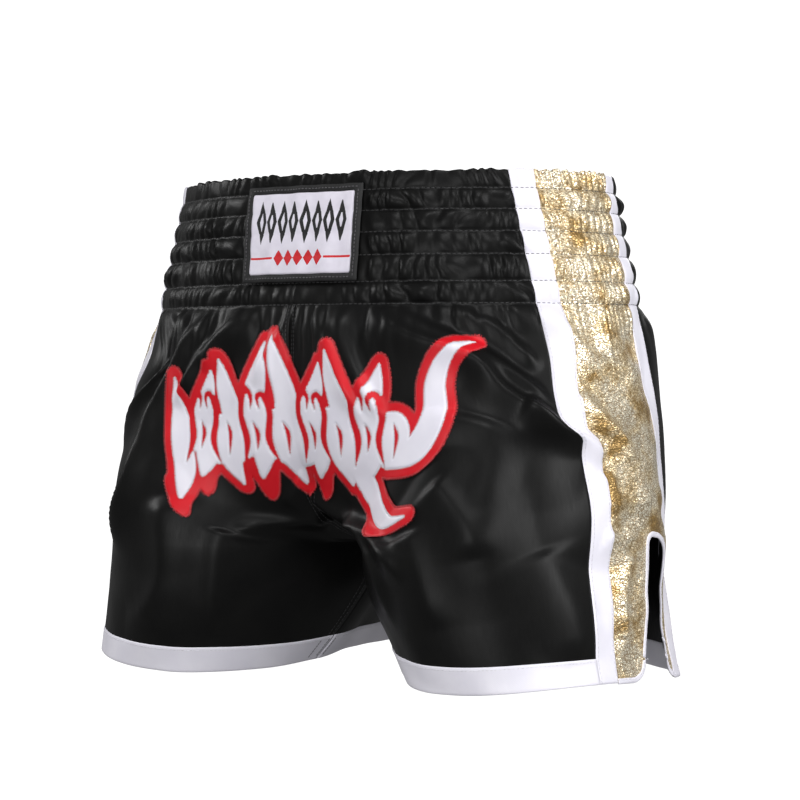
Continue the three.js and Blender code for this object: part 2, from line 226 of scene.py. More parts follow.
# ---- repeatable noise, the same both sides of the centre back ----
def noise(ring, depth, cell, tall, seed):
    """Smooth noise in -1..1. ring runs over the whole waist, cell and tall are its wavelengths."""
    count = max(int(round(2 * HALF_RING / cell)), 3)
    table = np.random.default_rng(SEED + seed).uniform(-1, 1, (count, 64))
    x = (ring / (2 * HALF_RING) % 1.0) * count
    y = np.clip(depth / tall, 0, 61) + 1
    i, j = np.floor(x).astype(int), np.floor(y).astype(int)
    a, b = smooth(x - i), smooth(y - j)
    corner = [[table[(i + m) % count, j + n] for n in (0, 1)] for m in (0, 1)]
    return mix(mix(corner[0][0], corner[1][0], a), mix(corner[0][1], corner[1][1], a), b)


def crease(ring, depth, cell, tall, seed):
    """Soft swells that meet in narrow creases, running every way as wrinkles do."""
    bent = ring + 14 * noise(ring, depth, 70, 60, seed + 40)
    lower = depth + 14 * noise(ring, depth, 60, 70, seed + 41)
    return 1.6 * np.sqrt(noise(bent, lower, cell, tall, seed) ** 2 + 0.006) - 0.8


def ring_phase(ring):
    """Counts the gathers from the centre front: about 10 mm each in satin, finer in gold."""
    marks = np.linspace(0, HALF_RING, 600)
    s = waist_front - marks
    gold = np.abs(s - side_line(0)) < GOLD_AT_WAIST / 2
    rate = np.where(gold, 1 / GOLD_PITCH, 1 / SATIN_PITCH)
    count = np.concatenate([[0], np.cumsum(rate[1:] * np.diff(marks))])
    return np.sign(ring) * np.interp(np.abs(ring), marks, count)


def channel_of(depth):
    """Which channel of the waistband a depth is in, counting on past its end, and how far down it."""
    rows = np.array([*STITCH_ROWS, 130.0])
    i = np.clip(np.searchsorted(rows, depth, side="right") - 1, 0, len(rows) - 2)
    return i, np.clip((depth - rows[i]) / (rows[i + 1] - rows[i]), 0, 1)


def gather(ring, depth, seed=0):
    """0 in the sharp valleys between two gathers, 1 on their rounded tops. Each channel has its own."""
    channel, share = channel_of(depth)
    level = channel * 3.0
    wander = (1.0 * noise(ring, level, 24, 1, 11 + seed) + 0.35 * noise(ring, level, 11, 1, 13 + seed)
              + 0.7 * (share - 0.5) * noise(ring, level, 20, 1, 12 + seed)
              + 0.15 * noise(ring, depth, 10, 7, 15 + seed))
    height = 0.70 + 0.45 * noise(ring, level, 12, 1, 14 + seed)
    fine = np.abs(np.sin(np.pi * (2.3 * ring_phase(ring) + 1.7 * wander + 0.8)))
    return height * (0.86 * np.abs(np.sin(np.pi * (ring_phase(ring) + wander))) ** 0.9 + 0.14 * fine)


def channel_puff(depth):
    """0 on a row of stitches and 1 in the middle of a channel."""
    rows = np.array(STITCH_ROWS, float)
    i = np.clip(np.searchsorted(rows, depth, side="right") - 1, 0, len(rows) - 2)
    f = np.clip((depth - rows[i]) / (rows[i + 1] - rows[i]), 0, 1)
    tall = np.clip((rows[i + 1] - rows[i]) / 15, 0.7, 1.1)
    top = i == 0
    return np.where(top, np.sin(np.pi * np.clip(0.35 + 0.65 * f, 0, 1)), np.sin(np.pi * f)) ** 0.7 * tall


LABEL = {"width": 83, "height": 56, "border": 5.3, "centre": 3, "top": 12.0}


def near_label(ring, depth):
    across = np.abs(ring - LABEL["centre"]) - LABEL["width"] / 2 - LABEL["border"]
    middle = LABEL["top"] + LABEL["height"] / 2
    down = np.abs(depth - middle) - LABEL["height"] / 2 - LABEL["border"]
    return 1 - smooth(np.maximum(across, down), -2, 6)


# Folds as (distance round from the side, depth) points, with height, steep side and soft side.
LEFT_FOLDS = [
    ([(181, 88), (162, 103), (123, 124), (108, 145), (78, 166), (62, 180)], 9.5, 5, 15),
    ([(170, 88), (141, 104), (119, 118), (90, 140), (70, 158)], 6.5, 4, 10),
    ([(128, 90), (102, 104), (90, 118), (80, 132)], 5.5, 4, 9),
    ([(224, 89), (216, 105), (212, 122), (206, 150)], 5.0, 4, 9),
    ([(205, 92), (201, 119), (190, 150)], 5.0, 4, 9),
    ([(300, 176), (285, 184), (249, 218), (208, 249), (196, 268)], 7.0, 6, 14),
    ([(262, 200), (243, 236), (226, 262), (214, 300)], 5.0, 6, 14),
    ([(166, 200), (148, 226), (140, 250)], 3.5, 9, 16),
    ([(122, 160), (131, 193), (134, 238), (128, 290)], 4.0, 16, 30),
    ([(190, 232), (180, 262), (170, 296)], 3.0, 10, 20),
    ([(98, 244), (84, 285), (76, 322)], 3.0, 14, 24),
    ([(64, 84), (60, 98), (52, 112), (38, 124), (24, 128)], 4.5, 4, 9),
    ([(56, 146), (43, 161), (27, 178), (10, 193)], 5.0, 4, 10),
    ([(44, 196), (38, 214), (14, 216), (-8, 212)], 3.5, 5, 9),
    ([(50, 236), (34, 242), (12, 236)], 3.5, 5, 10),
    ([(24, 250), (36, 282), (33, 318)], 4.0, 5, 9),
    ([(96, 150), (78, 164), (62, 176), (46, 190)], 5.5, 4, 12),
    ([(24, 86), (18, 106), (10, 128), (-4, 150)], 2.8, 4, 8),
]
RIGHT_FOLDS = [
    ([(124, 92), (122, 108), (126, 126), (134, 142)], -7.0, 9, 9),
    ([(177, 88), (155, 110), (147, 150), (149, 201), (135, 237), (128, 262)], 9.5, 5, 15),
    ([(220, 88), (186, 106), (174, 124), (166, 150)], 8.5, 4, 10),
    ([(140, 90), (128, 112), (112, 150), (100, 190)], 7.0, 5, 13),
    ([(200, 89), (190, 104), (184, 122)], 4.5, 4, 8),
    ([(252, 88), (238, 104), (230, 124)], 5.0, 4, 9),
    ([(278, 88), (268, 102), (262, 118)], 4.0, 4, 8),
    ([(183, 214), (190, 246), (188, 276), (172, 298), (150, 300)], 5.0, 11, 22),
    ([(268, 182), (288, 193), (304, 208)], 3.5, 8, 16),
    ([(298, 196), (262, 214), (236, 240)], 4.5, 6, 14),
    ([(232, 232), (226, 270), (222, 312)], 4.0, 8, 18),
]
BACK_FOLDS = [
    ([(-70, 88), (-84, 120), (-96, 170), (-100, 230)], 6.0, 7, 18),
    ([(-120, 88), (-124, 130), (-132, 190)], 5.0, 6, 16),
    ([(-160, 90), (-166, 140), (-176, 220), (-182, 300)], 6.0, 8, 20),
    ([(-200, 88), (-204, 120), (-214, 160)], 5.0, 6, 14),
    ([(-330, 200), (-290, 226), (-250, 262), (-236, 310)], 6.5, 7, 18),
    ([(-48, 92), (-56, 130), (-64, 200), (-72, 270)], 4.0, 6, 14),
]


def fold(s, depth, points, height, steep, soft):
    """The height of one fold that runs through the points and fades out at both ends."""
    p = np.array(points, float)
    t = np.linspace(0, len(p) - 1, 8 * len(p))
    i = np.clip(t.astype(int), 0, len(p) - 2)
    f = (t - i)[:, None]
    line = spline(p[np.maximum(i - 1, 0)], p[i], p[i + 1], p[np.minimum(i + 2, len(p) - 1)], f)
    best = np.full(s.shape, 1e9)
    signed, along = np.zeros(s.shape), np.zeros(s.shape)
    for k in range(len(line) - 1):
        step = line[k + 1] - line[k]
        long = step @ step
        ds, dd = s - line[k, 0], depth - line[k, 1]
        f = np.clip((ds * step[0] + dd * step[1]) / long, 0, 1)
        es, ed = ds - f * step[0], dd - f * step[1]
        away = es**2 + ed**2
        closer = away < best
        best = np.where(closer, away, best)
        signed = np.where(closer, np.sign(step[0] * ed - step[1] * es), signed)
        along = np.where(closer, (k + f) / (len(line) - 1), along)
    away = np.sqrt(best)
    width = np.where(signed > 0, steep, soft)
    return height * np.exp(-(away / width) ** 1.6) * smooth(along, 0, 0.12) * smooth(1 - along, 0, 0.3)


def relief(part, side):
    """How far the cloth stands out of the plain garment: (large folds, small gathers)."""
    g = grids[part]
    ring, depth, s = g["ring"] * side, g["depth"], g["s"]
    below = np.maximum(depth - BAND, 0)
    in_band = depth < BAND + 1e-6
    puff, pucker = channel_puff(depth), gather(ring, depth)
    from_line = np.abs(s - side_line(g["v"]))
    on_gold, on_tape = from_line < gold_half(g["v"]), from_line < gold_half(g["v"]) + TAPE
    stiff = np.where(on_gold, 0.85, np.where(on_tape, 0.5, 1.0))
    calm = 1 - 0.75 * near_label(ring, depth)
    vary = 0.75 + 0.35 * noise(ring, depth, 40, 18, 3)
    tall = 4.6 * vary * stiff
    band = 0.9 * puff * mix(calm, 1, 0.4) + (0.10 + 0.9 * puff) * tall * pucker * calm - 1.2
    first = 0.10 * tall * pucker - 1.2
    swell = below * np.exp(1 - below / 9) / 9
    fade = first * np.exp(-below / 8) + 3.4 * pucker * stiff * swell * np.exp(-below / 26)
    seam_calm = np.where(depth > RISE - 30, 1 - smooth(depth, RISE - 30, RISE), 1)
    leg_calm = smooth(s[:, :1] - s if part == "front" else s - s[:, -1:], 0, 40)
    calm_seam = np.maximum(seam_calm, leg_calm)
    rise = 1 - np.exp(-below / 12)
    middle = (3.2 * noise(ring, depth, 14, 70, 21) * rise * np.exp(-below / 40)
              + 3.2 * noise(ring, depth, 26, 90, 22) * rise * np.exp(-below / 80)
              + 2.4 * noise(ring, depth, 60, 110, 23) * smooth(below, 20, 120)
              + 2.2 * crease(ring, depth, 52, 74, 24) * rise
              + 1.1 * crease(ring, depth, 27, 40, 26) * rise) * calm_seam
    above_slit = 1 - 0.8 * smooth(g["v"], SLIT_V - 0.06, SLIT_V + 0.03)
    middle = middle + 1.6 * noise(ring, depth, 18, 12, 25) * rise * on_gold * above_slit
    small = np.where(in_band, band, fade)
    large = middle
    folds = (LEFT_FOLDS if side > 0 else RIGHT_FOLDS) if part == "front" else BACK_FOLDS
    for points, height, steep, soft in folds:
        if part == "back" and side < 0:
            points = [(q - 14, d + 6) for q, d in points]
        large = large + fold(s, depth, points, height, steep, soft) * rise * np.where(
            part == "front", 1, calm_seam)
    bulge = (0.5 if side > 0 else 2.0) * smooth(below, 2, 34) * (1 - smooth(below, 34, 80))
    large = large + bulge * (1 - smooth(np.abs(s), 60, 200))
    # the flap behind the slit turns in towards the leg
    turn_in = -9.0 * smooth(g["v"], SLIT_V, 0.93) * (1 - smooth(side_line(g["v"]) - s, 20, 75))
    return large + turn_in * (part == "back"), small


def settle(points, side, v):
    """The right side hangs straighter than the left, and the left hem rises at the inside."""
    moved = points * np.array([side, 1.0, 1.0])
    if side < 0:
        out = np.clip(np.abs(points[..., 0]) / 200, 0, 1) ** 2
        thigh = 5.5 * smooth(v, 0.3, 0.5) * (1 - smooth(v, 0.66, 0.9))
        moved[..., 0] += (thigh - 1.5 * smooth(v, 0.7, 1)) * out
    else:
        inner = smooth(points[..., 0], 150, 60) * smooth(v, CROTCH_V, 1)
        moved[..., 2] += 4 * inner
    moved[..., 2] -= 2.4 * (1 - smooth(v, 0, 0.12))
    return moved


def slide(s, depth, side):
    """How far the cloth has slipped round the body to the front, where folds pull on the tapes."""
    if side < 0:
        reach = np.where(s > 80, 48, 75)
        pulled = 36 * smooth(depth, 86, 124) * (1 - smooth(depth, 126, 168))
        return pulled * np.exp(-((s - 80) / reach) ** 2)
    pulled = 5.5 * smooth(depth, 120, 160) * (1 - smooth(depth, 168, 177))
    pushed = -4.0 * smooth(depth, 168, 177) * (1 - smooth(depth, 200, 250))
    return (pulled + pushed) * np.exp(-((s - 66) / 26) ** 2)


def face_out(points, key):
    """Unit normals of a grid, pointing out of the garment.
    Below the slit's top, those at its edges go by the cloth a little further in."""
    side, part = key
    n = unit(np.cross(np.gradient(points, axis=0), np.gradient(points, axis=1)) * side)
    below = slice(CROTCH_ROW, None)
    if part == "back":
        n[below, :3] = n[below, 3:4]
    else:
        n[below, -3:] = n[below, -4:-3]
    return n


def share_seams(data, mirror):
    """Makes values the same on both sides of every seam that joins two grids.
    With mirror, those on the centre seams also lose their sideways part."""
    def pair(a, b, centre=False):
        middle = (data[a[0]][a[1]] + data[b[0]][b[1]]) / 2
        if centre and mirror:
            middle = middle * np.array([0.0, 1.0, 1.0])
        data[a[0]][a[1]] = middle
        data[b[0]][b[1]] = middle

    for side in (1, -1):
        rows = slice(0, SLIT_ROW + 1)
        pair(((side, "front"), (rows, -1)), ((side, "back"), (rows, 0)))
        rows = slice(CROTCH_ROW, None)
        pair(((side, "front"), (rows, 0)), ((side, "back"), (rows, -1)))
    rows = slice(0, CROTCH_ROW + 1)
    pair(((1, "front"), (rows, 0)), ((-1, "front"), (rows, 0)), True)
    pair(((1, "back"), (rows, -1)), ((-1, "back"), (rows, -1)), True)


KEYS = [(side, part) for side in (1, -1) for part in ("front", "back")]
plain, normal, large, small = {}, {}, {}, {}
for key in KEYS:
    side, part = key
    g = grids[part]
    per_mm = np.gradient(g["u"], axis=1) / np.gradient(g["s"], axis=1)
    slid = surface(np.clip(g["u"] + slide(g["s"], g["depth"], side) * per_mm, -1, 1), g["v"])
    plain[key] = settle(slid, side, g["v"])
    normal[key] = face_out(plain[key], key)
    large[key], small[key] = relief(part, side)
share_seams(plain, True)
share_seams(normal, True)
share_seams(large, False)
share_seams(small, False)
for key in KEYS:
    normal[key] = unit(normal[key])
start = {key: plain[key] + normal[key] * large[key][..., None] for key in KEYS}


# ---- the cloth settles under its own weight ----
CLOTH_FRAMES, MAX_DRIFT, EASING = 30, 10.0, 3


def eased(values):
    """Each value averaged with its neighbours, the top row left alone."""
    wide = np.pad(values, ((1, 1), (1, 1), (0, 0)), mode="edge")
    rows = (wide[:-2] + 2 * wide[1:-1] + wide[2:]) / 4
    out = (rows[:, :-2] + 2 * rows[:, 1:-1] + rows[:, 2:]) / 4
    out[0] = values[0]
    return out


def joined_ids():
    """Numbers the coarse grids' points, one number where two grids are sewn together."""
    ids, count = {}, 0
    for key in KEYS:
        shape = start[key][BAND_ROW::COARSE, ::COARSE].shape[:2]
        ids[key] = count + np.arange(shape[0] * shape[1]).reshape(shape)
        count += shape[0] * shape[1]
    slit, crotch = (SLIT_ROW - BAND_ROW) // COARSE, (CROTCH_ROW - BAND_ROW) // COARSE
    seams = [((1, "front"), (slice(0, crotch + 1), 0), (-1, "front"), (slice(0, crotch + 1), 0)),
             ((1, "back"), (slice(0, crotch + 1), -1), (-1, "back"), (slice(0, crotch + 1), -1))]
    for side in (1, -1):
        seams.append(((side, "front"), (slice(0, slit + 1), -1), (side, "back"), (slice(0, slit + 1), 0)))
        seams.append(((side, "front"), (slice(crotch, None), 0), (side, "back"), (slice(crotch, None), -1)))
    for _ in range(3):
        for a, where_a, b, where_b in seams:
            low = np.minimum(ids[a][where_a], ids[b][where_b])
            ids[a][where_a] = low
            ids[b][where_b] = low
    used, packed = np.unique(np.concatenate([ids[k].ravel() for k in KEYS]), return_inverse=True)
    place = 0
    for key in KEYS:
        ids[key] = packed[place:place + ids[key].size].reshape(ids[key].shape)
        place += ids[key].size
    return ids, len(used)


def grid_quads(ids, side):
    quads = np.stack([ids[:-1, :-1], ids[1:, :-1], ids[1:, 1:], ids[:-1, 1:]], -1).reshape(-1, 4)
    return quads if side > 0 else quads[:, ::-1]


def raw_mesh(name, points, face_sets):
    mesh = bpy.data.meshes.new(name)
    mesh.vertices.add(len(points))
    mesh.vertices.foreach_set("co", np.asarray(points, np.float32).ravel())
    loops = np.concatenate([f.ravel() for f in face_sets]).astype(np.int32)
    sizes = np.concatenate([np.full(len(f), f.shape[1]) for f in face_sets])
    mesh.loops.add(len(loops))
    mesh.loops.foreach_set("vertex_index", loops)
    mesh.polygons.add(len(sizes))
    mesh.polygons.foreach_set("loop_start", np.concatenate([[0], np.cumsum(sizes)[:-1]]).astype(np.int32))
    mesh.update(calc_edges=True)
    return mesh, loops


def simulate_cloth():
    """Drops the sewn cloth from its drawn shape, held by the waistband, and returns its drift."""
    ids, count = joined_ids()
    points = np.zeros((count, 3))
    hold = np.full(count, 0.52)
    for key in KEYS:
        points[ids[key]] = start[key][BAND_ROW::COARSE, ::COARSE]
        hold[ids[key][0]] = 1.0
        hold[ids[key][1]] = 0.85
        hold[ids[key][-3:]] = 0.6
    mesh, _ = raw_mesh("cloth_at_work", points * UNIT, [grid_quads(ids[k], k[0]) for k in KEYS])
    work = bpy.data.objects.new("cloth_at_work", mesh)
    bpy.context.scene.collection.objects.link(work)
    group = work.vertex_groups.new(name="hold")
    for weight in np.unique(hold):
        group.add([int(i) for i in np.flatnonzero(hold == weight)], float(weight), "REPLACE")
    cloth = work.modifiers.new("cloth", "CLOTH")
    settings = cloth.settings
    settings.quality = 7
    settings.mass = 0.12
    settings.air_damping = 2.0
    settings.tension_stiffness = settings.compression_stiffness = 12
    settings.shear_stiffness = 6
    settings.bending_stiffness = 3.0
    settings.vertex_group_mass = "hold"
    settings.shrink_min = -0.02
    cloth.collision_settings.use_collision = False
    cloth.point_cache.frame_start, cloth.point_cache.frame_end = 1, CLOTH_FRAMES
    scene = bpy.context.scene
    for step in range(1, CLOTH_FRAMES + 1):
        scene.frame_set(step)
    seen = work.evaluated_get(bpy.context.evaluated_depsgraph_get())
    settled = np.zeros(count * 3, np.float32)
    seen.data.vertices.foreach_get("co", settled)
    moved = settled.reshape(-1, 3) / UNIT - points
    scene.frame_set(1)
    bpy.data.objects.remove(work)
    bpy.data.meshes.remove(mesh)
    moved = np.nan_to_num(moved)
    far = np.linalg.norm(moved, axis=1, keepdims=True)
    moved *= MAX_DRIFT * np.tanh(far / MAX_DRIFT) / np.maximum(far, 1e-9)
    drift = {key: moved[ids[key]] for key in KEYS}
    for _ in range(EASING):
        drift = {key: eased(d) for key, d in drift.items()}
        shared = np.zeros((count, 4))
        for key in KEYS:
            counted = np.column_stack([drift[key].reshape(-1, 3), np.ones(ids[key].size)])
            np.add.at(shared, ids[key].ravel(), counted)
        shared = shared[:, :3] / shared[:, 3:]
        drift = {key: shared[ids[key]] for key in KEYS}
    return drift


def refine(values, axis):
    """COARSE times as many steps along one axis, on smooth curves through the values."""
    v = np.moveaxis(values, axis, 0)
    last = len(v) - 1
    t = np.arange(last * COARSE + 1) / COARSE
    i = np.minimum(t.astype(int), last - 1)
    f = (t - i).reshape((-1,) + (1,) * (v.ndim - 1))
    out = spline(v[np.maximum(i - 1, 0)], v[i], v[i + 1], v[np.minimum(i + 2, last)], f)
    return np.moveaxis(out, 0, axis)


draped = {key: start[key].copy() for key in KEYS}
for key, drift in simulate_cloth().items():
    draped[key][BAND_ROW:] += refine(refine(drift, 0), 1)
share_seams(draped, True)
draped_out = {key: face_out(draped[key], key) for key in KEYS}
share_seams(draped_out, True)
skin = {key: draped[key] + draped_out[key] * small[key][..., None] for key in KEYS}
for key in KEYS:
    g = grids[key[1]]
    wave = gather(g["ring"] * key[0], np.full(g["depth"].shape, 5.0)) - 0.4
    skin[key][..., 2] += WAVE_AT_TOP * wave * (1 - smooth(g["depth"], 2, 11))
share_seams(skin, True)
skin_out = {key: face_out(skin[key], key) for key in KEYS}
share_seams(skin_out, True)
for key in KEYS:
    skin_out[key] = unit(skin_out[key])


def with_top_turn(key):
    """The skin with the rows added that turn over the waist's top edge to the inside."""
    top, out = skin[key][0], normal[key][0]
    up = np.array([0, 0, 1.0])
    angles = np.linspace(math.pi, 0, TURN_STEPS, endpoint=False)
    rows = [top + up * TURN_RADIUS * math.sin(a) - out * TURN_RADIUS * (1 - math.cos(a)) for a in angles]
    return np.concatenate([np.array(rows), skin[key]])


whole = {key: with_top_turn(key) for key in KEYS}
whole_out = {key: face_out(whole[key], key) for key in KEYS}
for key in KEYS:
    whole_out[key][TURN_STEPS:] = skin_out[key]
cloth_map = {}
for part, g in grids.items():
    flat = np.stack([g["s"], g["depth"]], -1)
    turned = np.stack([flat[0] - [0, 1.0 * k] for k in range(TURN_STEPS, 0, -1)])
    cloth_map[part] = np.concatenate([turned, flat]) / 1000


# ---- materials ----
def new_material(name):
    material = bpy.data.materials.new(name)
    material.use_nodes = True
    nodes = material.node_tree.nodes
    return material, nodes, material.node_tree.links, nodes["Principled BSDF"]


def mapped(nodes, links, scale):
    """The cloth's own coordinates in metres, stretched by scale."""
    where, mapping = nodes.new("ShaderNodeUVMap"), nodes.new("ShaderNodeMapping")
    where.uv_map = "cloth"
    mapping.inputs["Scale"].default_value = scale
    links.new(where.outputs[0], mapping.inputs[0])
    return mapping.outputs[0]


def noise_node(nodes, links, vector, scale, detail=3.0, roughness=0.5):
    node = nodes.new("ShaderNodeTexNoise")
    node.inputs["Scale"].default_value = scale
    node.inputs["Detail"].default_value = detail
    node.inputs["Roughness"].default_value = roughness
    links.new(vector, node.inputs["Vector"])
    return node.outputs[0]


def ramp(nodes, links, value, stops):
    node = nodes.new("ShaderNodeValToRGB")
    elements = node.color_ramp.elements
    while len(elements) < len(stops):
        elements.new(0.5)
    for element, (place, colour) in zip(elements, stops):
        element.position = place
        element.color = (*colour, 1) if len(colour) == 3 else colour
    links.new(value, node.inputs[0])
    return node.outputs[0]


def bump(nodes, links, height, strength, distance, after=None):
    node = nodes.new("ShaderNodeBump")
    node.inputs["Strength"].default_value = strength
    node.inputs["Distance"].default_value = distance
    links.new(height, node.inputs["Height"])
    if after is not None:
        links.new(after, node.inputs["Normal"])
    return node.outputs[0]


def satin(name, dark, light, roughness, sheen, gloss=1.5):
    """Woven satin: fine floats across the cloth, soft slubs, and a little colour variation."""
    material, nodes, links, shader = new_material(name)
    base = mapped(nodes, links, (1, 1, 1))
    slub = noise_node(nodes, links, mapped(nodes, links, (900, 90, 1)), 1.0, 2.0)
    cloud = noise_node(nodes, links, base, 38, 3.0)
    colour = ramp(nodes, links, cloud, [(0.3, dark), (0.7, light)])
    links.new(colour, shader.inputs["Base Color"])
    rough = ramp(nodes, links, slub, [(0.3, (roughness - 0.03,) * 3), (0.7, (roughness + 0.05,) * 3)])
    links.new(rough, shader.inputs["Roughness"])
    weave = nodes.new("ShaderNodeTexWave")
    weave.bands_direction = "DIAGONAL"
    weave.inputs["Scale"].default_value = 1.0
    weave.inputs["Distortion"].default_value = 0.6
    links.new(mapped(nodes, links, (420, 420, 1)), weave.inputs["Vector"])
    ripple = noise_node(nodes, links, mapped(nodes, links, (150, 60, 1)), 1.0, 3.0)
    first = bump(nodes, links, weave.outputs[1], 0.12, 0.0001)
    second = bump(nodes, links, ripple, 0.10, 0.0012, first)
    links.new(second, shader.inputs["Normal"])
    shader.inputs["Sheen Weight"].default_value = sheen
    shader.inputs["Sheen Roughness"].default_value = 0.45
    shader.inputs["IOR"].default_value = gloss
    return material


def gold_lame():
    """Foil lame: bright metal with a fine leathery crackle whose creases are painted dark as shade, over
    broader random patches whose pale ones are a painted highlight and brown ones painted shade.
    """
    material, nodes, links, shader = new_material("gold_lame")
    base = mapped(nodes, links, (1, 1, 1))
    warp = nodes.new("ShaderNodeTexNoise")
    warp.inputs["Scale"].default_value = 240
    links.new(base, warp.inputs["Vector"])
    shifted = nodes.new("ShaderNodeVectorMath")
    shifted.operation = "MULTIPLY_ADD"
    shifted.inputs[1].default_value = (0.0035, 0.0035, 0)
    links.new(warp.outputs["Color"], shifted.inputs[0])
    links.new(base, shifted.inputs[2])
    stretched = nodes.new("ShaderNodeMapping")
    stretched.inputs["Scale"].default_value = (400, 700, 1)
    links.new(shifted.outputs[0], stretched.inputs[0])
    cells = nodes.new("ShaderNodeTexVoronoi")
    cells.feature = "DISTANCE_TO_EDGE"
    cells.inputs["Scale"].default_value = 1.0
    links.new(stretched.outputs[0], cells.inputs["Vector"])
    # the crackle's edges: a bump, and also painted crease shade in the base colour below
    lines = ramp(nodes, links, cells.outputs["Distance"], [(0.0, (0.12, 0.12, 0.12)), (0.18, (1, 1, 1))])
    # painted highlight and shade: random patches colour the base from shaded brown through gold to a
    # near-white highlight
    patches = noise_node(nodes, links, base, 36, 4.0, 0.55)
    highlight_and_shade_tint = ramp(nodes, links, patches, [(0.37, (0.44, 0.29, 0.11)), (0.46, (0.98, 0.83, 0.55)),
                                        (0.56, (1.0, 0.93, 0.74))])
    # painted crease shade: dark brown mixed into the base colour along the crackle lines
    crease_shade_mix = nodes.new("ShaderNodeMix")
    crease_shade_mix.data_type = "RGBA"
    crease_shade_mix.inputs[6].default_value = (0.28, 0.16, 0.05, 1)
    links.new(lines, crease_shade_mix.inputs[0])
    links.new(highlight_and_shade_tint, crease_shade_mix.inputs[7])
    links.new(crease_shade_mix.outputs[2], shader.inputs["Base Color"])
    crinkle = noise_node(nodes, links, mapped(nodes, links, (170, 330, 1)), 1.0, 3.0, 0.55)
    broad = noise_node(nodes, links, mapped(nodes, links, (45, 90, 1)), 1.0, 2.0, 0.5)
    first = bump(nodes, links, lines, 0.55, 0.0004)
    second = bump(nodes, links, crinkle, 0.35, 0.0012, first)
    third = bump(nodes, links, broad, 0.5, 0.006, second)
    links.new(third, shader.inputs["Normal"])
    shader.inputs["Metallic"].default_value = 0.60
    shader.inputs["Roughness"].default_value = 0.24
    return material


def woven(name, dark, light, threads=1500.0):
    """Tight plain weave, over and under in both directions."""
    material, nodes, links, shader = new_material(name)
    cloud = noise_node(nodes, links, mapped(nodes, links, (1, 1, 1)), 120, 3.0)
    links.new(ramp(nodes, links, cloud, [(0.3, dark), (0.7, light)]), shader.inputs["Base Color"])
    checks = nodes.new("ShaderNodeTexChecker")
    checks.inputs["Scale"].default_value = 1.0
    links.new(mapped(nodes, links, (threads, threads, 1)), checks.inputs["Vector"])
    links.new(bump(nodes, links, checks.outputs[1], 0.25, 0.0001), shader.inputs["Normal"])
    shader.inputs["Roughness"].default_value = 0.75
    return material


def thread(name, colour, roughness=0.6):
    material, nodes, links, shader = new_material(name)
    where = nodes.new("ShaderNodeTexCoord")
    twist = nodes.new("ShaderNodeTexNoise")
    twist.inputs["Scale"].default_value = 1800
    links.new(where.outputs["Object"], twist.inputs["Vector"])
    shade = tuple(c * 0.7 for c in colour)
    links.new(ramp(nodes, links, twist.outputs[0], [(0.35, shade), (0.65, colour)]),
              shader.inputs["Base Color"])
    shader.inputs["Roughness"].default_value = roughness
    shader.inputs["Sheen Weight"].default_value = 0.2
    return material


BLACK = satin("black_satin", (0.0036, 0.0036, 0.0037), (0.0054, 0.0054, 0.0052), 0.40, 0.0, 1.235)
WHITE = satin("white_satin", (0.72, 0.705, 0.79), (0.80, 0.785, 0.86), 0.42, 0.1, 1.45)
RED = satin("red_satin", (0.56, 0.005, 0.012), (0.66, 0.008, 0.018), 0.42, 0.0, 1.35)
GOLD = gold_lame()
WOVEN_WHITE = woven("woven_white", (0.66, 0.63, 0.72), (0.74, 0.71, 0.80))
WOVEN_BLACK = woven("woven_black", (0.0050, 0.0050, 0.0055), (0.0080, 0.0080, 0.0085))
WOVEN_RED = woven("woven_red", (0.50, 0.006, 0.012), (0.58, 0.010, 0.016))
ELASTIC = woven("waist_elastic", (0.62, 0.61, 0.59), (0.70, 0.69, 0.67), 700.0)
BLACK_THREAD = thread("black_thread", (0.016, 0.016, 0.018))
GREY_THREAD = thread("grey_thread", (0.085, 0.08, 0.09))
WHITE_THREAD = thread("white_thread", (0.80, 0.78, 0.84))
RED_THREAD = thread("red_thread", (0.62, 0.03, 0.04))


# ---- making pieces ----
def add_piece(name, points, face_sets, material, nodes=(), flat=None):
    """A smooth piece that rides on the frame. flat gives each point's place on the flat cloth."""
    mesh, loops = raw_mesh(name, np.asarray(points) * UNIT, face_sets)
    mesh.polygons.foreach_set("use_smooth", np.ones(len(mesh.polygons), bool))
    if flat is None:
        flat = np.stack([points[:, 0] + points[:, 1], points[:, 2]], -1) / 1000
    layer = mesh.uv_layers.new(name="cloth")
    layer.data.foreach_set("uv", np.asarray(flat, np.float32)[loops].ravel())
    mesh.materials.append(material)
    piece = bpy.data.objects.new(name, mesh)
    bpy.context.scene.collection.objects.link(piece)
    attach(piece, "root")
    if nodes:
        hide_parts(*nodes)
    return piece


def two_layers(outer, inner, quads):
    """Closed faces round two matching layers of points, with walls along every free edge."""
    n = len(outer)
    edges = np.concatenate([quads[:, [k, (k + 1) % 4]] for k in range(4)])
    ordered = np.sort(edges, 1)
    _, first, counts = np.unique(ordered[:, 0] * n + ordered[:, 1], return_index=True, return_counts=True)
    rim = edges[first[counts == 1]]
    walls = np.stack([rim[:, 1], rim[:, 0], rim[:, 0] + n, rim[:, 1] + n], 1)
    return np.concatenate([outer, inner]), [np.concatenate([quads, quads[:, ::-1] + n, walls])]


HALF_CLOTH = 0.28


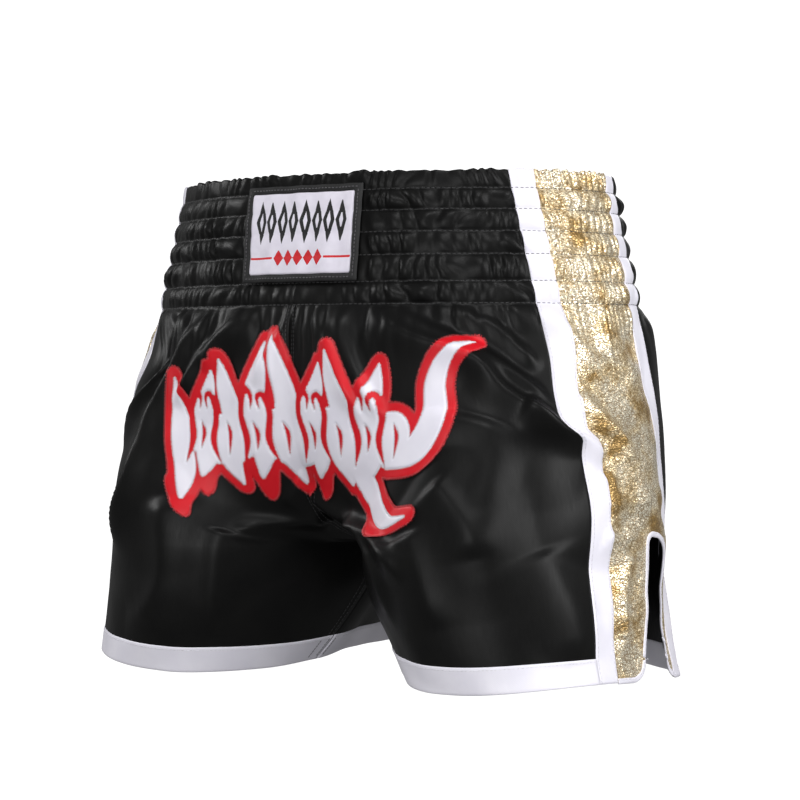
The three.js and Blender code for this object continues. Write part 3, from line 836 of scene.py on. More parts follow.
def cloth_piece(name, windows, material, nodes, sewn=None, inset=0.0):
    """Thin cloth over windows of the grids: (key, first row, last row, first column, last column)."""
    points, outs, flats, quads, count = [], [], [], [], 0
    sheets_of_ids = []
    for key, top, bottom, left, right in windows:
        rows, columns = slice(top + TURN_STEPS, bottom + TURN_STEPS + 1), slice(left, right + 1)
        p = whole[key][rows, columns]
        ids = count + np.arange(p.shape[0] * p.shape[1]).reshape(p.shape[:2])
        count += ids.size
        points.append(p.reshape(-1, 3))
        outs.append(whole_out[key][rows, columns].reshape(-1, 3))
        flats.append(cloth_map[key[1]][rows, columns].reshape(-1, 2))
        sheets_of_ids.append(ids)
    if sewn:
        rows = slice(0, sewn)
        sheets_of_ids[1][rows, 0] = sheets_of_ids[0][rows, -1]
    for ids, window in zip(sheets_of_ids, windows):
        quads.append(grid_quads(ids, window[0][0]))
    quads = np.concatenate(quads)
    used, quads = np.unique(quads, return_inverse=True)
    quads = quads.reshape(-1, 4)
    p, out, flat = (np.concatenate(x)[used] for x in (points, outs, flats))
    body, faces = two_layers(p + out * (HALF_CLOTH - inset), p - out * (HALF_CLOTH + inset), quads)
    return add_piece(name, body, faces, material, nodes, np.concatenate([flat, flat]))


def at_columns(values, columns):
    i = np.clip(np.floor(columns).astype(int), 0, values.shape[1] - 2)
    f = (columns - i)[None, :, None]
    return values[:, i] * (1 - f) + values[:, i + 1] * f


def at_rows(values, rows):
    i = np.clip(np.floor(rows).astype(int), 0, values.shape[0] - 2)
    f = (rows - i)[:, None, None]
    return values[i] * (1 - f) + values[i + 1] * f


def raised_strip(name, key, rows, columns, heights, depths, material, nodes):
    """A thick strip over fractional rows and columns, standing heights out and depths in."""
    def take(values):
        return at_rows(at_columns(values, columns), rows + TURN_STEPS)

    p, out, flat = take(whole[key]), take(whole_out[key]), take(cloth_map[key[1]])
    ids = np.arange(p.shape[0] * p.shape[1]).reshape(p.shape[:2])
    outer = (p + out * heights[..., None]).reshape(-1, 3)
    inner = (p - out * depths[..., None]).reshape(-1, 3)
    flat = flat.reshape(-1, 2)
    body, faces = two_layers(outer, inner, grid_quads(ids, key[0]))
    return add_piece(name, body, faces, material, nodes, np.concatenate([flat, flat]))


HANDS = {1: "left", -1: "right"}
F0, F1, F2 = np.cumsum((0,) + FRONT_COLUMNS)[1:]
B0, B1, B2 = np.cumsum((0,) + BACK_COLUMNS)[1:]
TUCK = 3  # rows of the black panels that go up inside the hem band
TOP = -TURN_STEPS
for side, hand in HANDS.items():
    front, back = (side, "front"), (side, "back")
    cloth_piece(
        f"front_panel_satin_{hand}", [(front, TOP, HEM_ROW + TUCK, 0, F0)], BLACK,
        [f"front_panel_{hand}"])
    cloth_piece(
        f"back_panel_satin_{hand}", [(back, TOP, HEM_ROW + TUCK, B1, B2)], BLACK,
        [f"back_panel_{hand}"])
    cloth_piece(
        f"side_panel_lame_{hand}", [(front, TOP, LAST_ROW, F1, F2), (back, TOP, LAST_ROW, 0, B0)],
        GOLD, [f"side_panel_{hand}"], sewn=SLIT_ROW + TURN_STEPS + 1)

    low_lining = LAST_ROW - 9
    cloth_piece(
        f"side_lining_{hand}",
        [(front, BAND_ROW, low_lining, F1, F2 - 2), (back, BAND_ROW, low_lining, 2, B0)],
        BLACK, [], inset=0.75)

    # tapes, with rounded folds along both edges
    for which, key, low, high in (("front", front, F0, F1), ("back", back, B0, B1)):
        rows = np.arange(TOP, LAST_ROW + 1).astype(float)
        share = np.array([0, 0.02, 0.06, 0.15, 0.3, 0.45, 0.6, 0.75, 0.87, 0.94, 0.98, 1])
        columns = low - 0.35 + share * (high - low + 0.7)
        profile = np.array([0.05, 0.55, 0.8, 0.85, 0.88, 0.88, 0.88, 0.88, 0.85, 0.8, 0.55, 0.05])
        heights = np.broadcast_to(profile, (len(rows), len(columns)))
        raised_strip(
            f"{which}_tape_satin_{hand}", key, rows, columns, heights, heights * 0.5, WHITE,
            [f"{which}_tape_{hand}"])

    # hem bands, folded round the bottom edge
    for which, key, low, high in (("front", front, 0, F0), ("back", back, B1, B2)):
        inner = np.arange(HEM_ROW + 1, LAST_ROW).astype(float)
        rows = np.concatenate([[HEM_ROW - 0.15, HEM_ROW + 0.05, HEM_ROW + 0.4], inner,
                               [LAST_ROW - 0.3, LAST_ROW]])
        profile = np.concatenate([[0.1, 0.65, 0.85], np.full(len(inner), 0.9), [0.85, 0.5]])
        columns = np.arange(low, high + 1).astype(float)
        heights = np.broadcast_to(profile[:, None], (len(rows), len(columns)))
        raised_strip(
            f"{which}_hem_satin_{hand}", key, rows, columns, heights, heights, WHITE,
            [f"{which}_hem_band_{hand}"])


# ---- paths and sewing threads ----
def even_path(points, pitch, *others):
    """Points a pitch apart along a line, with other values carried along."""
    run = run_along(points)
    marks = (np.arange(max(int(run[-1] / pitch), 1)) + 0.5) * pitch
    return [np.stack([np.interp(marks, run, x[:, k]) for k in range(x.shape[1])], -1)
            for x in (points, *others)]


def threads(name, centres, along, outs, length, width, height, material, slot):
    """Short rounded stitches: one at each centre, lying along the surface."""
    across = unit(np.cross(outs, along))
    ups = unit(np.cross(along, across))
    along = unit(along)
    rings = [(-0.5, 0.35), (-0.3, 1.0), (0.3, 1.0), (0.5, 0.35)]
    sides = 6
    points = []
    for place, size in rings:
        for k in range(sides):
            a = 2 * math.pi * k / sides
            points.append(centres + along * (length * place) + across * (width / 2 * size * math.cos(a))
                          + ups * (height * size * math.sin(a)))
    points = np.stack(points, 1)
    per = points.shape[1]
    quads = [(r * sides + k, r * sides + (k + 1) % sides, (r + 1) * sides + (k + 1) % sides,
              (r + 1) * sides + k) for r in range(len(rings) - 1) for k in range(sides)]
    caps = [tuple(range(sides))[::-1], tuple(range(per - sides, per))]
    offset = (np.arange(len(centres)) * per)[:, None, None]
    faces = [(np.array(x)[None] + offset).reshape(-1, len(x[0])) for x in (quads, caps)]
    return add_piece(name, points.reshape(-1, 3), faces, material)


def ring_line(row, values):
    """One row all the way round: left front, left back, right back, right front."""
    return np.concatenate([values[(1, "front")][row], values[(1, "back")][row],
                           values[(-1, "back")][row][::-1], values[(-1, "front")][row][::-1]])


def lifts_round():
    """How high a stitch lies over the middle of the cloth, higher on the tapes."""
    front, back = np.full(F2 + 1, 0.42), np.full(B2 + 1, 0.42)
    front[F0:F1 + 1] = 1.0
    back[B0:B1 + 1] = 1.0
    return np.concatenate([front, back, back[::-1], front[::-1]])[:, None]


def tones_round():
    """1 where the row crosses a tape, 2 on gold, 0 on black."""
    front, back = np.zeros(F2 + 1), np.zeros(B2 + 1)
    front[F0:F1 + 1] = back[B0:B1 + 1] = 1
    front[F1 + 1:] = back[:B0] = 2
    return np.concatenate([front, back, back[::-1], front[::-1]])[:, None]


seam_rows = np.cumsum([0, *CHANNEL_STEPS])[1:]
rows_found = []
for row in seam_rows:
    line, out, lift, tone = even_path(ring_line(row, skin), BAND_STITCH_PITCH, ring_line(row, skin_out),
                                      lifts_round(), tones_round())
    ahead = unit(np.roll(line, -1, 0) - np.roll(line, 1, 0))
    rows_found.append((line + unit(out) * lift, ahead, unit(out), tone[:, 0]))
centres, ahead, out, tone = (np.concatenate(x) for x in zip(*rows_found))
on_tape = np.abs(tone - 1) < 0.5
threads("band_stitches_dark", centres[~on_tape], ahead[~on_tape], out[~on_tape], 2.5, 0.55, 0.24,
        BLACK_THREAD, "black_satin")
threads("band_stitches_on_tape", centres[on_tape], ahead[on_tape], out[on_tape], 2.3, 0.6, 0.22,
        GREY_THREAD, "black_satin")


def sewn_line(key, rows, columns, lift, pitch=2.8):
    """Centres, directions and normals of the stitches along a line on one grid."""
    rows, columns = np.broadcast_arrays(np.asarray(rows, float), np.asarray(columns, float))

    def take(values):
        i = np.clip(rows.astype(int), 0, values.shape[0] - 2)
        j = np.clip(columns.astype(int), 0, values.shape[1] - 2)
        a, b = (rows - i)[:, None], (columns - j)[:, None]
        upper = mix(values[i, j], values[i, j + 1], b)
        return mix(upper, mix(values[i + 1, j], values[i + 1, j + 1], b), a)

    line, outs = even_path(take(skin[key]), pitch, take(skin_out[key]))
    outs = unit(outs)
    return line + outs * lift, unit(np.gradient(line, axis=0)), outs


def join(found):
    return [np.concatenate(x) for x in zip(*found)]


white_lines, black_lines = [], []
for side in (1, -1):
    front, back = (side, "front"), (side, "back")
    body = np.arange(BAND_ROW, LAST_ROW + 1)
    for key, low, high in ((front, F0, F1), (back, B0, B1)):
        for column in (low + 0.9, high - 0.9):
            white_lines.append(sewn_line(key, body, column, 0.95))
    for key, low, high in ((front, 0, F0), (back, B1, B2)):
        white_lines.append(sewn_line(key, HEM_ROW + 0.9, np.arange(low, high + 1), 0.95))
    leg = np.arange(CROTCH_ROW, HEM_ROW + 1)
    for column in (1.2, 2.6):
        black_lines.append(sewn_line(front, leg, column, 0.36))
    for column in (1.0, 2.2):
        rise = np.arange(BAND_ROW, CROTCH_ROW - 2)
        black_lines.append(sewn_line(front, rise, column, 0.36))
        black_lines.append(sewn_line(back, rise, B2 - column, 0.36))
inseam_lines = [sewn_line((side, part), np.arange(HEM_ROW + 1, LAST_ROW), column, 1.0, 2.2)
                for side in (1, -1) for part, columns in (("front", (1.2, 4.2)), ("back", (B2 - 1.2,)))
                for column in columns]
threads("inseam_stitches", *join(inseam_lines), 1.8, 0.5, 0.2, GREY_THREAD, "black_satin")
threads("edge_stitches_white", *join(white_lines), 2.0, 0.4, 0.16, WHITE_THREAD, "white_satin")
threads("seam_stitches_black", *join(black_lines), 2.0, 0.45, 0.2, BLACK_THREAD, "black_satin")


# ---- the slit's folded binding, which runs on along the gold panel's bottom edge ----
def slit_binding(side):
    """Makes one slit's folded edge and returns the places of its stitches."""
    front, back = (side, "front"), (side, "back")

    def path(values):
        return np.concatenate([
            values[front][-1, F1:], values[front][SLIT_ROW:-1, -1][::-1],
            values[back][SLIT_ROW + 1:, 0], values[back][-1, 1:B0 + 1]])

    inward = {
        front: np.zeros_like(skin[front]), back: np.zeros_like(skin[back])}
    inward[front][-1] = skin[front][-4] - skin[front][-1]
    inward[front][:-1, -1] = skin[front][:-1, -4] - skin[front][:-1, -1]
    inward[back][-1] = skin[back][-4] - skin[back][-1]
    inward[back][:-1, 0] = skin[back][:-1, 3] - skin[back][:-1, 0]
    for key, column in ((front, -1), (back, 0)):
        inward[key][SLIT_ROW, column] = np.array([0, 0, 4.0])
        near = inward[key][SLIT_ROW + 1:SLIT_ROW + 4, column]
        inward[key][SLIT_ROW + 1:SLIT_ROW + 4, column] = near + np.array([0, 0, 1.0])
    line, outs, ins = even_path(path(skin), 1.2, path(skin_out), path(inward))
    for _ in range(2):
        line[1:-1] = (line[:-2] + 2 * line[1:-1] + line[2:]) / 4
    ahead, outs = unit(np.gradient(line, axis=0)), unit(outs)
    across = unit(np.cross(outs, ahead))
    across *= np.sign((across * ins).sum(1, keepdims=True) + 1e-9)
    section = [(3.0, 0.30), (2.6, 0.72), (1.4, 0.80), (0.2, 0.74), (-0.5, 0.42), (-0.75, 0.0),
               (-0.5, -0.42), (0.2, -0.74), (1.4, -0.80), (2.6, -0.72), (3.0, -0.30)]
    points = np.stack([line + across * d + outs * h for d, h in section], 1)
    n, m = points.shape[:2]
    ids = np.arange(n * m).reshape(n, m)
    around = np.concatenate([ids, ids[:, :1]], 1)
    quads = grid_quads(around, 1)
    ends = [ids[:1], ids[-1:, ::-1]]
    run = np.arange(n)[:, None] * 0.0012 + np.zeros((n, m))
    flat = np.stack([run, np.arange(m)[None] * 0.0008 + np.zeros((n, m))], -1).reshape(-1, 2)
    add_piece(f"slit_fold_{HANDS[side]}", points.reshape(-1, 3), [quads, *ends], WHITE,
              [f"slit_binding_{HANDS[side]}"], flat)
    picks = np.arange(1, n - 1, 2)
    stitch = (line + across * 2.0 + outs * 0.86)[picks]
    return stitch, ahead[picks], outs[picks]


threads("binding_stitches", *join([slit_binding(side) for side in (1, -1)]), 1.7, 0.35, 0.14,
        WHITE_THREAD, "white_satin")


# ---- inside the waistband ----
def inner_ring(offset_of, rows):
    """A closed ring of points inside the waistband, offset_of(ring, depth) in from the plain shell."""
    found = []
    for side, part, step in ((1, "front", 1), (1, "back", 1), (-1, "back", -1), (-1, "front", -1)):
        key = (side, part)
        g = grids[part]
        p, out = plain[key][rows][:, ::step], normal[key][rows][:, ::step]
        ring, depth = (g["ring"] * side)[rows][:, ::step], g["depth"][rows][:, ::step]
        found.append((p - out * offset_of(ring, depth)[..., None])[:, :-1])
    return np.concatenate(found, 1)


def ring_piece(name, outer, inner, material, nodes):
    rows, columns = outer.shape[:2]
    ids = np.arange(rows * columns).reshape(rows, columns)
    around = np.concatenate([ids, ids[:, :1]], 1)
    body, faces = two_layers(outer.reshape(-1, 3), inner.reshape(-1, 3), grid_quads(around, 1))
    flat = np.stack([np.broadcast_to(np.arange(columns) * 0.0014, (rows, columns)),
                     np.broadcast_to(np.arange(rows)[:, None] * 0.0014, (rows, columns))], -1).reshape(-1, 2)
    return add_piece(name, body, faces, material, nodes, np.concatenate([flat, flat]))


band_rows = np.arange(0, BAND_ROW + 1)


def facing_in(ring, depth):
    closing = smooth(depth, BAND - 10, BAND)
    return 3.6 - 1.6 * closing + 0.9 * channel_puff(depth) * gather(ring + 4, depth, 5)


facing_outer = inner_ring(facing_in, band_rows)
facing_inner = inner_ring(lambda ring, depth: facing_in(ring, depth) + 0.6, band_rows)
ring_piece("facing_satin", facing_outer, facing_inner, BLACK, ["waist_facing"])
facing_out = unit(facing_inner - facing_outer)
lines = []
for row in seam_rows[:-1]:
    line, out = even_path(np.concatenate([facing_inner[row], facing_inner[row][:1]]), BAND_STITCH_PITCH,
                          np.concatenate([facing_out[row], facing_out[row][:1]]))
    lines.append((line + unit(out) * 0.12, unit(np.roll(line, -1, 0) - np.roll(line, 1, 0)), unit(out)))
threads("facing_stitches", *join(lines), 2.5, 0.5, 0.2, GREY_THREAD, "black_satin")
for k in range(len(CHANNEL_STEPS)):
    rows = np.arange(seam_rows[k] - CHANNEL_STEPS[k] + 2, seam_rows[k] - 1)
    outer = inner_ring(lambda ring, depth: np.full(ring.shape, 1.9), rows)
    inner = inner_ring(lambda ring, depth: np.full(ring.shape, 2.6), rows)
    ring_piece(f"elastic_ring_{k + 1}", outer, inner, ELASTIC, [f"waist_elastic_{k + 1}"])


# ---- pieces laid on the front: d is the distance from the centre front, z the height ----
LEVELS, FRONT_REACH = np.arange(-4.0, -252.0, -2.0), 200
LEVEL_U = 1 - 0.9 * np.arange(121) / 120


def level_tables():
    """u and v on a grid of levels and distances from the centre front of the plain shell."""
    z, u = np.meshgrid(LEVELS, LEVEL_U, indexing="ij")
    low, high = np.zeros(z.shape), np.full(z.shape, CROTCH_V)
    for _ in range(30):
        middle = (low + high) / 2
        above = surface(u, middle)[..., 2] > z
        low, high = np.where(above, middle, low), np.where(above, high, middle)
    p = surface(u, low)
    run = np.concatenate([np.zeros((len(LEVELS), 1)), np.cumsum(
        np.linalg.norm(np.diff(p, axis=1), axis=2), axis=1)], 1)
    reach = np.arange(FRONT_REACH + 1)
    return (np.array([np.interp(reach, r, LEVEL_U) for r in run]),
            np.array([np.interp(reach, r, v) for r, v in zip(run, low)]))


LEVEL_TO_U, LEVEL_TO_V = level_tables()


def look_up(table, rows, columns):
    i = np.clip(rows.astype(int), 0, table.shape[0] - 2)
    j = np.clip(columns.astype(int), 0, table.shape[1] - 2)
    a, b = rows - i, columns - j
    return mix(mix(table[i, j], table[i, j + 1], b), mix(table[i + 1, j], table[i + 1, j + 1], b), a)


def grid_place(d, z):
    """Fractional row and column of the front grid under each point."""
    level, reach = (LEVELS[0] - z) / 2.0, np.abs(d)
    u, v = look_up(LEVEL_TO_U, level, reach), look_up(LEVEL_TO_V, level, reach)
    row = np.interp(v, ROWS, np.arange(len(ROWS)))
    column = np.zeros(len(row))
    grid_u = grids["front"]["u"]
    for i in np.unique(row.astype(int)):
        here = np.flatnonzero(row.astype(int) == i)
        i = min(i, LAST_ROW - 1)
        near = np.array([np.interp(-u[here], -grid_u[k], np.arange(grid_u.shape[1])) for k in (i, i + 1)])
        column[here] = mix(near[0], near[1], row[here] - i)
    return row, column


def cubic(values, rows, columns):
    """Smooth values of a grid at fractional rows and columns."""
    i, j = np.floor(rows).astype(int), np.floor(columns).astype(int)
    a, b = (rows - i)[:, None], (columns - j)[:, None]

    def weights(f):
        return (0.5 * (-f + 2 * f**2 - f**3), 0.5 * (2 - 5 * f**2 + 3 * f**3),
                0.5 * (f + 4 * f**2 - 3 * f**3), 0.5 * (f**3 - f**2))

    out = 0
    for m, wa in enumerate(weights(a)):
        for n, wb in enumerate(weights(b)):
            r = np.clip(i + m - 1, 0, values.shape[0] - 1)
            c = np.clip(j + n - 1, 0, values.shape[1] - 1)
            out = out + wa * wb * values[r, c]
    return out


def on_front(d, z, lift, shapes, outs):
    """Points on the front, lift millimetres out of the given shapes."""
    d, z = np.asarray(d, float), np.asarray(z, float)
    row, column = grid_place(d, z)
    left = d >= 0
    p, n = np.zeros((len(d), 3)), np.zeros((len(d), 3))
    for side, pick in ((1, left), (-1, ~left)):
        key = (side, "front")
        p[pick] = cubic(shapes[key], row[pick], column[pick])
        n[pick] = cubic(outs[key], row[pick], column[pick])
    return p + unit(n) * np.asarray(lift, float).reshape(-1, 1)


def fill(field, low, high, step):
    """Triangles over the part of a flat region where field(x, y) is below 0, and its outline.
    Returns points, the field there, triangles and the outline's short pieces."""
    xs = np.arange(low[0], high[0] + step, step)
    ys = np.arange(low[1], high[1] + step, step)
    gx, gy = np.meshgrid(xs, ys, indexing="ij")
    f = field(gx.ravel(), gy.ravel()).reshape(gx.shape)
    ny = len(ys)
    points = list(zip(gx.ravel(), gy.ravel()))
    values = list(f.ravel())
    inside = f < 0
    cell = [inside[:-1, :-1], inside[1:, :-1], inside[1:, 1:], inside[:-1, 1:]]
    total = sum(c.astype(int) for c in cell)
    i, j = np.nonzero(total == 4)
    a = i * ny + j
    triangles = [np.stack([a, a + ny, a + ny + 1], 1), np.stack([a, a + ny + 1, a + 1], 1)]
    crossings, extra, outline_parts = {}, [], []

    def crossing(p, q):
        name = (min(p, q), max(p, q))
        if name not in crossings:
            t = values[p] / (values[p] - values[q])
            crossings[name] = len(points)
            points.append((mix(points[p][0], points[q][0], t), mix(points[p][1], points[q][1], t)))
            values.append(0.0)
        return crossings[name]

    for i, j in zip(*np.nonzero((total > 0) & (total < 4))):
        corners = [i * ny + j, (i + 1) * ny + j, (i + 1) * ny + j + 1, i * ny + j + 1]
        shape, cut = [], []
        for k in range(4):
            p, q = corners[k], corners[(k + 1) % 4]
            if values[p] < 0:
                shape.append(p)
            if (values[p] < 0) != (values[q] < 0):
                shape.append(crossing(p, q))
                cut.append(shape[-1])
        extra += [(shape[0], shape[k], shape[k + 1]) for k in range(1, len(shape) - 1)]
        if len(cut) == 2:
            outline_parts.append(cut)
    triangles = np.concatenate([*triangles, np.array(extra)])
    used, packed = np.unique(triangles, return_inverse=True)
    place = np.full(len(points), -1)
    place[used] = np.arange(len(used))
    return (np.array(points)[used], np.array(values)[used], packed.reshape(-1, 3),
            place[np.array(outline_parts)])


def laid_patch(name, field, low, high, step, lift, crown, edge, shapes, outs, material, nodes=()):
    """A raised patch of cloth over a flat region of the front, its rim rolled down to the cloth below.
    Returns the flat points and the outline's short pieces."""
    points, values, triangles, parts = fill(field, low, high, step)
    rise = crown * np.sqrt(1 - (1 - np.clip(-values / edge, 0, 1)) ** 2)
    top = on_front(points[:, 0], points[:, 1], lift + rise, shapes, outs)
    under = on_front(points[:, 0], points[:, 1], np.full(len(points), lift - 0.25), shapes, outs)
    n = len(top)
    walls = np.stack([parts[:, 0], parts[:, 1], parts[:, 1] + n, parts[:, 0] + n], 1)
    area = np.cross(points[triangles[:, 1]] - points[triangles[:, 0]],
                    points[triangles[:, 2]] - points[triangles[:, 0]])
    triangles = np.where((area > 0)[:, None], triangles, triangles[:, ::-1])
    add_piece(name, np.concatenate([top, under]), [triangles, triangles[:, ::-1] + n, walls],
              material, nodes, np.concatenate([points, points]) / 1000)
    return points, parts


def edge_threads(name, points, parts, lift, shapes, outs, length, material, slot):
    """Zigzag stitches across an outline, leaning to one side and the other in turn."""
    a, b = points[parts[:, 0]], points[parts[:, 1]]
    middle, ahead = (a + b) / 2, b - a
    long = np.linalg.norm(ahead, axis=1)
    pick = long > 0.25
    middle, ahead = middle[pick], ahead[pick] / long[pick][:, None]
    across = np.stack([-ahead[:, 1], ahead[:, 0]], 1)
    turn = np.floor(middle.sum(1) * 0.9).astype(int) % 2 * 2 - 1
    lean = across + 0.35 * ahead * turn[:, None]
    centre = on_front(middle[:, 0], middle[:, 1], np.full(len(middle), lift), shapes, outs)
    tip = on_front(middle[:, 0] + lean[:, 0], middle[:, 1] + lean[:, 1], np.full(len(middle), lift),
                   shapes, outs)
    key_out = on_front(middle[:, 0], middle[:, 1], np.full(len(middle), lift + 1.0), shapes, outs)
    threads(name, centre, unit(tip - centre), unit(key_out - centre), length, 0.5, 0.22, material, slot)


# the woven label, a plain pattern of lozenges over a barred line
label_out = {key: face_out(plain[key], key) for key in KEYS}
share_seams(label_out, True)
label_middle = -LABEL["top"] - LABEL["height"] / 2


def box_field(centre_x, centre_y, half_x, half_y, round_by=0.0):
    def field(x, y):
        return np.maximum(np.abs(x - centre_x) - half_x, np.abs(y - centre_y) - half_y) - round_by
    return field


def lozenge_field(centre_x, centre_y, half_x, half_y):
    def field(x, y):
        past = np.abs(x - centre_x) / half_x + np.abs(y - centre_y) / half_y - 1
        return past * min(half_x, half_y) * 0.8
    return field


def label_wave(d, z):
    return 0.55 * np.sin(d * 0.31 + 1.1) + 0.35 * np.sin(d * 0.17 - z * 0.06) + 0.6


def label_shape():
    """The plain shell under the label, with the label's own soft waves."""
    shapes = {}
    for key in KEYS:
        if key[1] == "front":
            g = grids["front"]
            wave = label_wave(g["ring"] * key[0], -g["depth"])
            soft = 0.6 * channel_puff(g["depth"])
            shapes[key] = plain[key] + normal[key] * (wave + soft)[..., None]
    return shapes


label_shapes = label_shape()
half_w, half_h = LABEL["width"] / 2, LABEL["height"] / 2
reach = LABEL["border"]
low = (LABEL["centre"] - half_w - reach - 1, label_middle - half_h - reach - 1)
high = (LABEL["centre"] + half_w + reach + 1, label_middle + half_h + reach + 1)
face_field = box_field(LABEL["centre"], label_middle, half_w, half_h)
rim_field = box_field(LABEL["centre"], label_middle, half_w + reach, half_h + reach)


def frame_field(x, y):
    return np.maximum(rim_field(x, y), -face_field(x, y) + 0.2)


LABEL_LIFT = 1.5
laid_patch("label_cloth", face_field, low, high, 1.5, LABEL_LIFT, 0.35, 0.8, label_shapes, label_out,
           WOVEN_WHITE, ["label_face"])
laid_patch("label_rim", frame_field, low, high, 1.5, LABEL_LIFT - 0.1, 0.9, 1.2, label_shapes, label_out,
           WOVEN_BLACK, ["label_border"])
LOZENGES = 8


def lozenge_row(x, y):
    spacing = (LABEL["width"] - 8) / LOZENGES
    start_x = LABEL["centre"] - LABEL["width"] / 2 + 4 + spacing / 2
    found = np.full(np.shape(x), 1e9)
    for k in range(LOZENGES):
        centre = start_x + k * spacing
        tall = lozenge_field(centre, label_middle + 7.5, spacing * 0.47, 15.5)(x, y)
        slot_in = lozenge_field(centre, label_middle + 7.5, spacing * 0.17, 6.5)(x, y)
        found = np.minimum(found, np.maximum(tall, -slot_in))
    return found


def barred_line(x, y):
    line_y = label_middle - 17.0
    found = np.minimum(box_field(LABEL["centre"] - 31, line_y, 10, 0.8)(x, y),
                       box_field(LABEL["centre"] + 31, line_y, 10, 0.8)(x, y))
    for k in range(5):
        found = np.minimum(found, lozenge_field(LABEL["centre"] + (k - 2) * 8.0, line_y, 3.9, 5.6)(x, y))
    return found


for name, field, material, slot in (("label_lozenges", lozenge_row, WOVEN_BLACK, "woven_black"),
                                    ("label_line", barred_line, WOVEN_RED, "woven_white")):
    laid_patch(name, field, low, high, 0.75, LABEL_LIFT + 0.33, 0.22, 0.5, label_shapes, label_out,
               material)


def label_stitches():
    w, h = half_w + reach * 0.5, half_h + reach * 0.5
    corners = np.array([(-w, -h), (w, -h), (w, h), (-w, h), (-w, -h)]) + [LABEL["centre"], label_middle]
    places, heads = [], []
    for a, b in zip(corners[:-1], corners[1:]):
        long = np.linalg.norm(b - a)
        marks = (np.arange(int(long / 2.6)) + 0.5) * 2.6 / long
        places.append(a + (b - a) * marks[:, None])
        heads.append(np.broadcast_to((b - a) / long, (len(marks), 2)))
    p, head = np.concatenate(places), np.concatenate(heads)
    flat_lift = np.full(len(p), LABEL_LIFT + 0.9)
    centre = on_front(p[:, 0], p[:, 1], flat_lift, label_shapes, label_out)
    tip = on_front(p[:, 0] + head[:, 0], p[:, 1] + head[:, 1], flat_lift, label_shapes, label_out)
    above = on_front(p[:, 0], p[:, 1], flat_lift + 1, label_shapes, label_out)
    threads("label_stitches", centre, unit(tip - centre), unit(above - centre), 1.7, 0.55, 0.25,
            GREY_THREAD, "woven_black")


label_stitches()

# ---- the badge: abstract flame scrolls on red satin ----
BADGE_LOW, BADGE_HIGH = (-132.0, -246.0), (156.0, -92.0)


def stroke(points, widths, bends=10):
    """A smooth stroke through the points with a width at each: its line and half widths."""
    p = np.column_stack([np.array(points, float), np.array(widths, float) / 2])
    t = np.linspace(0, len(p) - 1, bends * (len(p) - 1) + 1)
    i = np.clip(t.astype(int), 0, len(p) - 2)
    f = (t - i)[:, None]
    return spline(p[np.maximum(i - 1, 0)], p[i], p[i + 1], p[np.minimum(i + 2, len(p) - 1)], f)


def strokes_field(strokes):
    def field(x, y):
        best = np.full(np.shape(x), 1e9)
        for line in strokes:
            for a, b in zip(line[:-1], line[1:]):
                step = b[:2] - a[:2]
                f = np.clip(((x - a[0]) * step[0] + (y - a[1]) * step[1]) / (step @ step + 1e-12), 0, 1)
                away = np.hypot(x - a[0] - f * step[0], y - a[1] - f * step[1]) - mix(a[2], b[2], f)
                best = np.minimum(best, away)
        return best
    return field


def flame(x, foot, tip, bend, lean, wide):
    """One upright flame: a foot, a belly that sways by bend, and a pointed tip that leans."""
    tall = tip - foot
    return stroke([(x - bend, foot), (x + bend * 0.7, foot + tall * 0.25),
                   (x - bend * 0.5, foot + tall * 0.55), (x + lean * 0.6, foot + tall * 0.8),
                   (x + lean, tip)], [3, wide, wide * 0.95, wide * 0.6, 0.6])


WHITE_STROKES = [
    stroke([(-84, -172), (-56, -178), (-28, -170), (0, -178), (28, -170), (54, -178), (84, -172)],
           [22, 34, 30, 36, 30, 34, 28]),
    stroke([(44, -182), (58, -204), (74, -220), (92, -229), (110, -224)], [12, 17, 14, 9, 0.6]),
    stroke([(80, -186), (102, -182), (114, -162), (113, -140), (120, -124), (135, -116)],
           [18, 17, 16, 13, 8, 0.6]),
    flame(-92, -218, -136, 4, -10, 16),
]
FLAME_TIPS = [-131, -124, -112, -109, -126, -118, -127]
for k, tip in enumerate(FLAME_TIPS):
    turn = (-1) ** k
    WHITE_STROKES.append(flame(23 * (k - 3) - 4, -202 - 4 * (k % 2), tip, 3.5 * turn, 8 * turn, 19))
# slots that let the red show through, each a stem with a hooked top
SLOT_STROKES = []
for k in range(8):
    turn = (-1) ** k
    across = 23 * (k - 3.5) - 5
    SLOT_STROKES.append(stroke([(across - 2 * turn, -194), (across + 3 * turn, -178), (across, -160),
                                (across + 4 * turn, -146 + 2 * turn), (across + 9 * turn, -149),
                                (across + 8 * turn, -157)], [1.0, 6.0, 5.5, 5.0, 4.0, 1.0]))
    SLOT_STROKES.append(stroke([(across + 10, -186 + 2 * turn), (across + 12, -174), (across + 9, -166)],
                               [0.8, 4.0, 0.8]))
white_body = strokes_field(WHITE_STROKES)
white_slots = strokes_field(SLOT_STROKES)


def white_field(x, y):
    return np.maximum(white_body(x, y), -white_slots(x, y))


FLAME_FEET = [(-96, -231), (-73, -216), (-27, -218), (19, -217)]
RED_STROKES = [stroke([(x, y + 22), (x - 2, y + 8), (x - 4, y)], [20, 13, 0.8], 5) for x, y in FLAME_FEET]
feet_field = strokes_field(RED_STROKES)


def red_field(x, y):
    return np.minimum(white_body(x, y) - 6.2, feet_field(x, y))


